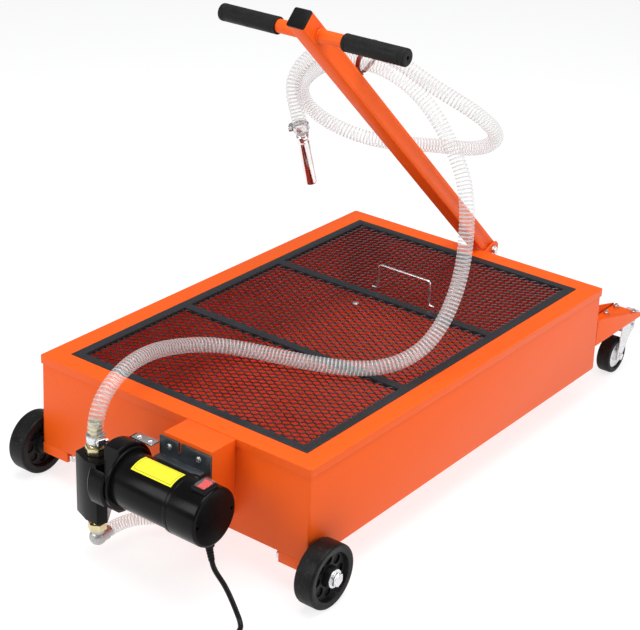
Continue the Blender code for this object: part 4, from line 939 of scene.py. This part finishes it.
def make_grips():
    bar_middle = middle("cross_bar")
    low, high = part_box("cross_bar")
    half = (high[0] - low[0]) / 2
    frame_x = axis_frame(bar_middle, X_AXIS)
    radius = 0.011
    wall = radius - 0.0018
    tube = turned([(radius, half), (radius, -half), (wall, -half), (wall, half)], frame_x, 0.0003, 64)
    stand_in("cross_bar", "cross_bar_tube", tube, "orange")
    bead = [(radius + 0.0022, 0.0000), (radius + 0.0012, -0.0012), (radius + 0.0001, -0.0020),
            (radius + 0.0001, 0.0004)]
    beads = []
    for side in (-1, 1):
        x = side * (POST_HALF + 0.0004)
        beads.append(turned(bead, axis_frame(bar_middle + X_AXIS * x, -X_AXIS * side), 0.0007, 56))
    new_piece("bar_welds", merged(*beads), "orange", "handle")
    for side, word in ((1, "right"), (-1, "left")):
        low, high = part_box("grip_" + word)
        start, end = sorted((abs(low[0] - ORIGIN.x), abs(high[0] - ORIGIN.x)))
        r = (high[2] - low[2]) / 2
        bore = radius + 0.0003
        outside = [(0.0030, end), (r - 0.0022, end), (r - 0.0004, end - 0.0016), (r, end - 0.0042),
                   (r, end - 0.0085), (r - 0.0007, end - 0.0092), (r - 0.0007, end - 0.0104),
                   (r - 0.0001, end - 0.0110), (r - 0.0001, start + 0.0085), (r - 0.0007, start + 0.0078),
                   (r - 0.0007, start + 0.0066), (r, start + 0.0060), (r, start + 0.0012),
                   (r - 0.0010, start)]
        inside = [(bore, start), (bore, half + 0.0003), (0.0030, half + 0.0003)]
        place = axis_frame(Vector((ORIGIN.x, bar_middle.y, bar_middle.z)), X_AXIS * side)
        stand_in("grip_" + word, "grip_%s_rubber" % word, turned(outside + inside, place, 0.0006, 72),
                 "rubber")


def make_handle():
    rounded("handle_post", "orange", 0.0005)
    rounded("post_cap", "moulding", 0.0009, 3)
    rounded("handle_bracket", "orange", 0.0006)
    rounded("hose_clip", "clip", 0.0004)
    make_grips()
    head = PIVOT + X_AXIS * 0.0233
    parts = hex_bolt(head, X_AXIS, 0.0530, 0.0075, 0.0052, 0.0040, 0.0085)
    parts += [bar(PIVOT - X_AXIS * 0.0218, PIVOT - X_AXIS * 0.0283, 0.0075, 6, 0.0005)]
    stand_in("handle_bolt", "handle_pivot_bolt", merged(*parts), "zinc")


# ---------------------------------------------------------------- clamps, nozzle and fittings

def clamp_band(middle_point, direction, wide, screw_side):
    """A worm-drive band with its hex screw, screw housing and pressed grooves."""
    inner = HOSE_RADIUS + 0.0004
    outer = inner + 0.0012
    place = axis_frame(middle_point, direction)
    edge = wide / 2
    band = turned([(outer, edge), (outer, -edge), (inner, -edge), (inner, edge)], place, 0.0003, 72)
    lips = [turned([(outer + 0.0004, s * edge + 0.0006), (outer + 0.0004, s * edge - 0.0006),
                    (outer - 0.0004, s * edge - 0.0006), (outer - 0.0004, s * edge + 0.0006)],
                   place @ Matrix.Translation((0, 0, -s * 0.0006)), 0.0003, 72) for s in (-1, 1)]
    axis = Vector(direction).normalized()
    out = (Vector(screw_side) - axis * Vector(screw_side).dot(axis)).normalized()
    side = axis.cross(out)
    centre = Vector(middle_point) + out * (outer + 0.0026)
    turn = Matrix.Translation(centre) @ Matrix((side, out, axis)).transposed().to_4x4()
    housing = block((-0.007, -0.0034, -edge), (0.007, 0.0034, edge), 0.0014, 4, turn)
    screw = bar((0.0055, 0, 0), (0.0118, 0, 0), 0.0034, 6, 0.0004)
    bmesh.ops.transform(screw, matrix=turn, verts=screw.verts)
    tail = bar((-0.0085, 0, 0), (-0.006, 0, 0), 0.0021, 24, 0.0003)
    bmesh.ops.transform(tail, matrix=turn, verts=tail.verts)
    return merged(band, *lips, housing, screw, tail)


def make_nozzle():
    top = at(-0.1110, 0.0286, 0.4572)
    tip = at(-0.105, 0.0520, 0.3655)
    down = (tip - top).normalized()
    reach = (tip - top).length
    profile = [(0, reach - 0.020), (0.0080, reach - 0.020), (0.0080, reach), (0.0090, reach),
               (0.0102, reach - 0.002), (0.0102, 0.016), (0.0094, 0.014), (0.0094, 0.010), (0.0108, 0.008),
               (0.0108, 0.004), (0.0088, 0.002), (0.0088, 0), (0, 0)]
    stand_in("nozzle", "nozzle_chrome", turned(profile, axis_frame(top, down), 0.0005, 72), "chrome")
    band = clamp_band(top - down * 0.013, down, 0.009, (-1, -0.6, 0))
    stand_in("nozzle_clamp", "nozzle_band", band, "zinc")


def port_at(z):
    port = middle("outlet_fitting")
    return Vector((port.x, port.y, ORIGIN.z + z))


def make_fittings():
    nut = bar(port_at(0.1113), port_at(0.1235), 0.0168, 6, 0.0009)
    collar = turned([(0, 0.0020), (0.0112, 0.0020), (0.0118, 0.0012), (0.0118, -0.0010), (0, -0.0010)],
                    Matrix.Translation(port_at(0.1240)), 0.0003, 48)
    neck = bar(port_at(0.1062), port_at(0.1272), 0.0077, 40, 0.0002)
    stand_in("outlet_fitting", "outlet_nut", merged(nut, collar, neck), "yellow")
    ridges = [(0, 0.0370), (0.0088, 0.0370)]
    for i in range(5, -1, -1):
        ridges += [(0.0106, 0.0008 + 0.0060 * i), (0.0092, 0.0002 + 0.0060 * i)]
    ridges.append((0, 0.0002))
    new_piece("outlet_barb", turned(ridges, Matrix.Translation(port_at(0.1276)), 0.0003, 48), "yellow",
              "chassis")
    band = clamp_band(port_at(0.1365), Z_AXIS, 0.011, (1, -0.3, 0))
    stand_in("outlet_clamp", "outlet_band", band, "zinc")
    ring = bar(port_at(-0.0220), port_at(-0.0100), 0.0150, 6, 0.0008)
    neck = bar(port_at(-0.0110), port_at(0.018), 0.0077, 40, 0.0002)
    stand_in("inlet_fitting", "inlet_nut", merged(ring, neck), "yellow")
    turn = at(-0.048, 0, -0.036)
    turn.y = middle("outlet_fitting").y
    elbow = merged(
        turned([(0, 0.0137), (0.0097, 0.0137), (0.0105, 0.0129), (0.0105, 0), (0, 0)],
               Matrix.Translation(turn), 0.0005, 56),
        turned([(0.0137 * math.sin(math.radians(a)), 0.0137 * math.cos(math.radians(a)))
                for a in range(0, 181, 12)], Matrix.Translation(turn), 0.0001, 56),
        turned([(0, 0.0247), (0.0080, 0.0247), (0.0088, 0.0230), (0.0088, 0.0170), (0.0120, 0.0165),
                (0.0120, 0.0), (0, 0)], axis_frame(turn, Y_AXIS), 0.0006, 56))
    stand_in("suction_elbow", "suction_elbow_cast", elbow, "cast")


# ---------------------------------------------------------------- pump and motor

MOTOR = middle("motor_barrel")


def motor_frame():
    return axis_frame(Vector((ORIGIN.x, MOTOR.y, MOTOR.z)), X_AXIS)


def along_motor(node):
    """Where a node starts and ends along the motor's axis, from the tank's middle."""
    low, high = corners(node)
    return low.x - ORIGIN.x, high.x - ORIGIN.x


def node_radius(node):
    low, high = corners(node)
    return (high.z - low.z) / 2


def pan_screw(name, place, out, radius, spin):
    """A pan-head screw with a cross recess."""
    high = radius * 0.55
    profile = [(0, high), (radius * 0.45, high * 0.96), (radius * 0.80, high * 0.70),
               (radius * 0.97, high * 0.30), (radius, 0.0), (radius, -0.0006), (0, -0.0006)]
    frame_out = axis_frame(place, out) @ Matrix.Rotation(math.radians(spin), 4, "Z")
    screw = new_piece(name, turned(profile, frame_out, 0.0002, 36), "zinc", "chassis")
    long, slim = radius * 0.62, radius * 0.13
    tools = [block((-a, -b, high * 0.35), (a, b, high * 2), 0.00005, 1, frame_out)
             for a, b in ((long, slim), (slim, long))]
    return minus(screw, *tools)


def make_pump():
    rounded("pump_block", "enamel", 0.0016, 4)
    face, end = along_motor("pump_head")
    flat = corners("pump_head")[0].y
    ring = turned([(0.0540, end), (0.0560, end - 0.0020), (0.0560, face + 0.0025), (0.0540, face),
                   (0.0070, face), (0.0070, 0.0040), (0.0313, 0.0040), (0.0313, end)],
                  motor_frame(), 0.0007, 96)
    head = new_piece("pump_head_ring", ring, "enamel", "chassis")
    minus(head, block((ORIGIN.x + face - 0.01, flat - 0.03, MOTOR.z - 0.09),
                      (ORIGIN.x + end + 0.01, flat, MOTOR.z + 0.09), 0.0001, 1))
    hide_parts("pump_head")
    lug = block(at(face + 0.0023, -0.4995, 0.112), at(0.0020, -0.4805, 0.1383), 0.0008, 3)
    new_piece("pump_lug", lug, "enamel", "chassis")
    strap = block(at(-0.006, -0.4990, 0.1386), at(0.0345, -0.4805, 0.1411), 0.0006, 2)
    new_piece("pump_strap", strap, "zinc", "chassis")
    for i, x in enumerate((0.0030, 0.0245)):
        pan_screw("strap_screw_%d" % (i + 1), at(x, -0.4898, 0.1411), Z_AXIS, 0.0048, 35 + 30 * i)


def make_motor():
    seat = along_motor("motor_front_bell")[1]
    shoulder = along_motor("pump_head")[1]
    bell = turned([(0.0490, seat), (0.0505, seat - 0.0010), (0.0505, shoulder + 0.0010),
                   (0.0495, shoulder + 0.0003), (0.0310, shoulder + 0.0003), (0.0310, 0.0043),
                   (0.0070, 0.0043), (0.0070, 0.0062), (0.0163, 0.0062), (0.0163, seat)],
                  motor_frame(), 0.0005, 96)
    stand_in("motor_front_bell", "motor_bell", bell, "enamel")
    start, end = along_motor("motor_barrel")
    radius = node_radius("motor_barrel")
    barrel = turned([(radius, end), (radius, start), (radius - 0.0025, start), (radius - 0.0025, end)],
                    motor_frame(), 0.0004, 128)
    stand_in("motor_barrel", "motor_tube", barrel, "enamel")
    make_end_cap()
    make_label(radius)
    make_switch()


def make_end_cap():
    start, end = along_motor("motor_end_cap")
    radius = node_radius("motor_end_cap")
    hollow = radius - 0.0035
    seat = start + 0.039
    cap = turned([(0, end), (radius - 0.0035, end), (radius - 0.0010, end - 0.0010), (radius, end - 0.0035),
                  (radius, start + 0.0090), (radius - 0.0006, start + 0.0086),
                  (radius - 0.0006, start + 0.0076), (radius, start + 0.0072), (radius, start + 0.001),
                  (radius - 0.001, start), (hollow, start), (hollow, seat), (0.0163, seat),
                  (0.0163, end - 0.0075), (0, end - 0.0075)], motor_frame(), 0.0006, 112)
    piece = new_piece("motor_cap", cap, "enamel", "chassis")
    half_x, half_y = 0.0095, 0.0131
    switch = middle("switch_housing")
    tools = [block((switch.x - half_x, switch.y - half_y, ORIGIN.z + 0.116),
                   (switch.x + half_x, switch.y + half_y, ORIGIN.z + 0.16), 0.0001, 1)]
    for side in (-1, 1):
        spot = Vector((ORIGIN.x, MOTOR.y + side * 0.0370, MOTOR.z))
        tools.append(bar(spot + X_AXIS * 0.178, spot + X_AXIS * 0.2, 0.0030, 28, 0))
    motor_y = MOTOR.y - ORIGIN.y
    tools.append(bar(at(CORD_X, motor_y, 0.040), at(CORD_X, motor_y, 0.060), 0.0062, 28, 0))
    minus(piece, *tools)
    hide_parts("motor_end_cap")
    heads = []
    for side in (-1, 1):
        spot = Vector((ORIGIN.x + 0.1782, MOTOR.y + side * 0.0370, MOTOR.z))
        heads.append(turned([(0.0008, 0.0016), (0.0026, 0.0016), (0.0027, 0.0), (0.0008, 0.0)],
                            axis_frame(spot, X_AXIS), 0.0002, 28))
    new_piece("cap_screws", merged(*heads), "dark", "chassis")


def curved_patch(x_span, turn_span, radius, thick, rows, columns):
    """A thin sheet wrapped on the motor's barrel; turns are degrees from the top towards the front."""
    bm = bmesh.new()
    grid = {}
    for level, r in enumerate((radius, radius + thick)):
        for i in range(rows + 1):
            turn = math.radians(turn_span[0] + (turn_span[1] - turn_span[0]) * i / rows)
            for j in range(columns + 1):
                x = ORIGIN.x + x_span[0] + (x_span[1] - x_span[0]) * j / columns
                spot = (x, MOTOR.y - r * math.sin(turn), MOTOR.z + r * math.cos(turn))
                grid[level, i, j] = bm.verts.new(spot)
    for i in range(rows):
        for j in range(columns):
            for level in (0, 1):
                bm.faces.new([grid[level, i, j], grid[level, i + 1, j], grid[level, i + 1, j + 1],
                              grid[level, i, j + 1]])
    rim = [(0, j) for j in range(columns)] + [(i, columns) for i in range(rows)]
    rim += [(rows, j) for j in range(columns, 0, -1)] + [(i, 0) for i in range(rows, 0, -1)]
    for a, b in zip(rim, rim[1:] + rim[:1]):
        bm.faces.new([grid[(0, *a)], grid[(0, *b)], grid[(1, *b)], grid[(1, *a)]])
    return bm


LABEL_X = (0.045, 0.123)
LABEL_TURN = (-11, 33)


def make_label(radius):
    """A plain yellow sticker with a thin dark border line, and no lettering."""
    paper = curved_patch(LABEL_X, LABEL_TURN, radius + 0.00005, 0.00025, 24, 6)
    new_piece("motor_label", paper, "label", "chassis")
    lift = radius + 0.00028
    inset, line = 0.0030, 0.0007
    x0, x1 = LABEL_X[0] + inset, LABEL_X[1] - inset
    step = math.degrees(line / radius)
    t0, t1 = LABEL_TURN[0] + math.degrees(inset / radius), LABEL_TURN[1] - math.degrees(inset / radius)
    strips = [curved_patch((x0, x1), (t0, t0 + step), lift, 0.00008, 2, 6),
              curved_patch((x0, x1), (t1 - step, t1), lift, 0.00008, 2, 6),
              curved_patch((x0, x0 + line), (t0 + step, t1 - step), lift, 0.00008, 22, 1),
              curved_patch((x1 - line, x1), (t0 + step, t1 - step), lift, 0.00008, 22, 1)]
    new_piece("label_border", merged(*strips), "ink", "chassis")


def make_switch():
    rounded("switch_housing", "moulding", 0.0006)
    rounded("switch_rocker", "red", 0.0006, 3)
    switch = middle("switch_housing")
    low_z = corners("switch_housing")[1].z - 0.0004
    top = low_z + 0.0056
    dome = block((switch.x - 0.009, switch.y - 0.0126, low_z),
                 (switch.x + 0.009, switch.y + 0.0126, top), 0.0016, 4)
    cover = new_piece("switch_cover", dome, "cover", "chassis")
    minus(cover, block((switch.x - 0.0081, switch.y - 0.0117, low_z - 0.002),
                       (switch.x + 0.0081, switch.y + 0.0117, top - 0.0007), 0.0010, 3))
    lip = block((switch.x - 0.0103, switch.y - 0.0139, low_z + 0.0002),
                (switch.x + 0.0103, switch.y + 0.0139, low_z + 0.0012), 0.0004, 2)
    bezel = new_piece("switch_bezel", lip, "moulding", "chassis")
    minus(bezel, block((switch.x - 0.0092, switch.y - 0.0128, low_z - 0.002),
                       (switch.x + 0.0092, switch.y + 0.0128, top), 0.0010, 2))


def make_mounts():
    rounded("pump_bracket", "orange", 0.0009, 3)
    rounded("motor_angle", "dark_zinc", 0.0004)
    face_y = corners("motor_angle")[1].y - 0.003
    for i, x in enumerate((0.0550, 0.1125)):
        place = Vector((ORIGIN.x + x, face_y, ORIGIN.z + 0.139))
        pan_screw("angle_screw_%d" % (i + 1), place, -Y_AXIS, 0.0052, 25 + 40 * i)


# ---------------------------------------------------------------- wheels

def make_front_wheel(side, word):
    node = "front_wheel_" + word
    low, high = corners(node)
    centre = (low + high) / 2
    radius = (high.z - low.z) / 2
    half = (high.x - low.x) / 2 - 0.0008
    face = [(radius, half - 0.0032), (radius - 0.0012, half - 0.0008), (radius - 0.0035, half),
            (0.0400, half - 0.0008), (0.0392, half - 0.0018), (0.0372, 0.0080), (0.0172, 0.0080),
            (0.0160, half + 0.0008), (0.0054, half + 0.0008)]
    tyre = turned(mirrored(face), axis_frame(centre, X_AXIS), 0.0006, 96)
    wheel = new_piece("front_wheel_%s_tyre" % word, tyre, "tyre", body_of(node))
    pockets = []
    for i in range(8):
        turn = math.tau * i / 8
        spot = centre + Vector((0, math.cos(turn), math.sin(turn))) * 0.0272
        for end in (-1, 1):
            pockets.append(bar(spot + X_AXIS * end * 0.0050, spot + X_AXIS * end * 0.03, 0.0078, 28, 0))
    minus(wheel, merged(*pockets))
    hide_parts(node)
    axle = [bar(axle_point(side, centre, a), axle_point(side, centre, b), r, n, e) for a, b, r, n, e in (
        (0.2115, 0.3190, 0.005, 32, 0.0004), (0.2137, 0.2197, 0.0088, 6, 0.0006),
        (0.2748, 0.2793, 0.0085, 40, 0.0006), (0.3158, 0.3184, 0.0148, 56, 0.0005))]
    axle += hex_bolt(axle_point(side, centre, 0.3182), X_AXIS * side, 0, 0.0118, 0.0063, 0.005)
    stand_in("front_axle_" + word, "front_axle_%s_bolt" % word, merged(*axle), "zinc")
    rounded("axle_bracket_" + word, "orange", 0.0005)


def axle_point(side, centre, x):
    return Vector((ORIGIN.x + side * x, centre.y, centre.z))


def make_castor(word):
    rounded("castor_bracket_" + word, "orange", 0.0007)
    rounded("castor_plate_" + word, "zinc", 0.0003)
    rounded("castor_fork_" + word, "zinc", 0.0004)
    rounded("brake_pedal_" + word, "tab", 0.0004)
    node = "castor_wheel_" + word
    low, high = corners(node)
    centre = (low + high) / 2
    radius = (high.z - low.z) / 2
    half = 0.013
    face = [(radius, half - 0.0034), (radius - 0.0010, half - 0.0010), (radius - 0.0030, half),
            (0.0268, half), (0.0256, half - 0.0006), (0.0245, half - 0.0030)]
    tyre = turned(mirrored(face), axis_frame(centre, X_AXIS), 0.0005, 80)
    stand_in(node, "castor_tyre_" + word, tyre, "tyre")
    face = [(0.0243, half - 0.0034), (0.0228, half - 0.0028), (0.0214, half - 0.0042),
            (0.0118, half - 0.0042), (0.0105, half + 0.0013), (0.0044, half + 0.0013)]
    hub = turned(mirrored(face), axis_frame(centre, X_AXIS), 0.0005, 72)
    stand_in(node, "castor_hub_" + word, hub, "hub")


# ---------------------------------------------------------------- everything in order

make_camera()
make_studio()
make_nozzle()
make_delivery_hose()
make_power_cord()
make_suction_hose()
make_tank()
make_handle()
make_fittings()
make_pump()
make_motor()
make_mounts()
for hand, label in ((1, "right"), (-1, "left")):
    make_front_wheel(hand, label)
    make_castor(label)
for node, look in KEPT.items():
    NODES[node].data.materials.clear()
    NODES[node].data.materials.append(LOOKS[look])
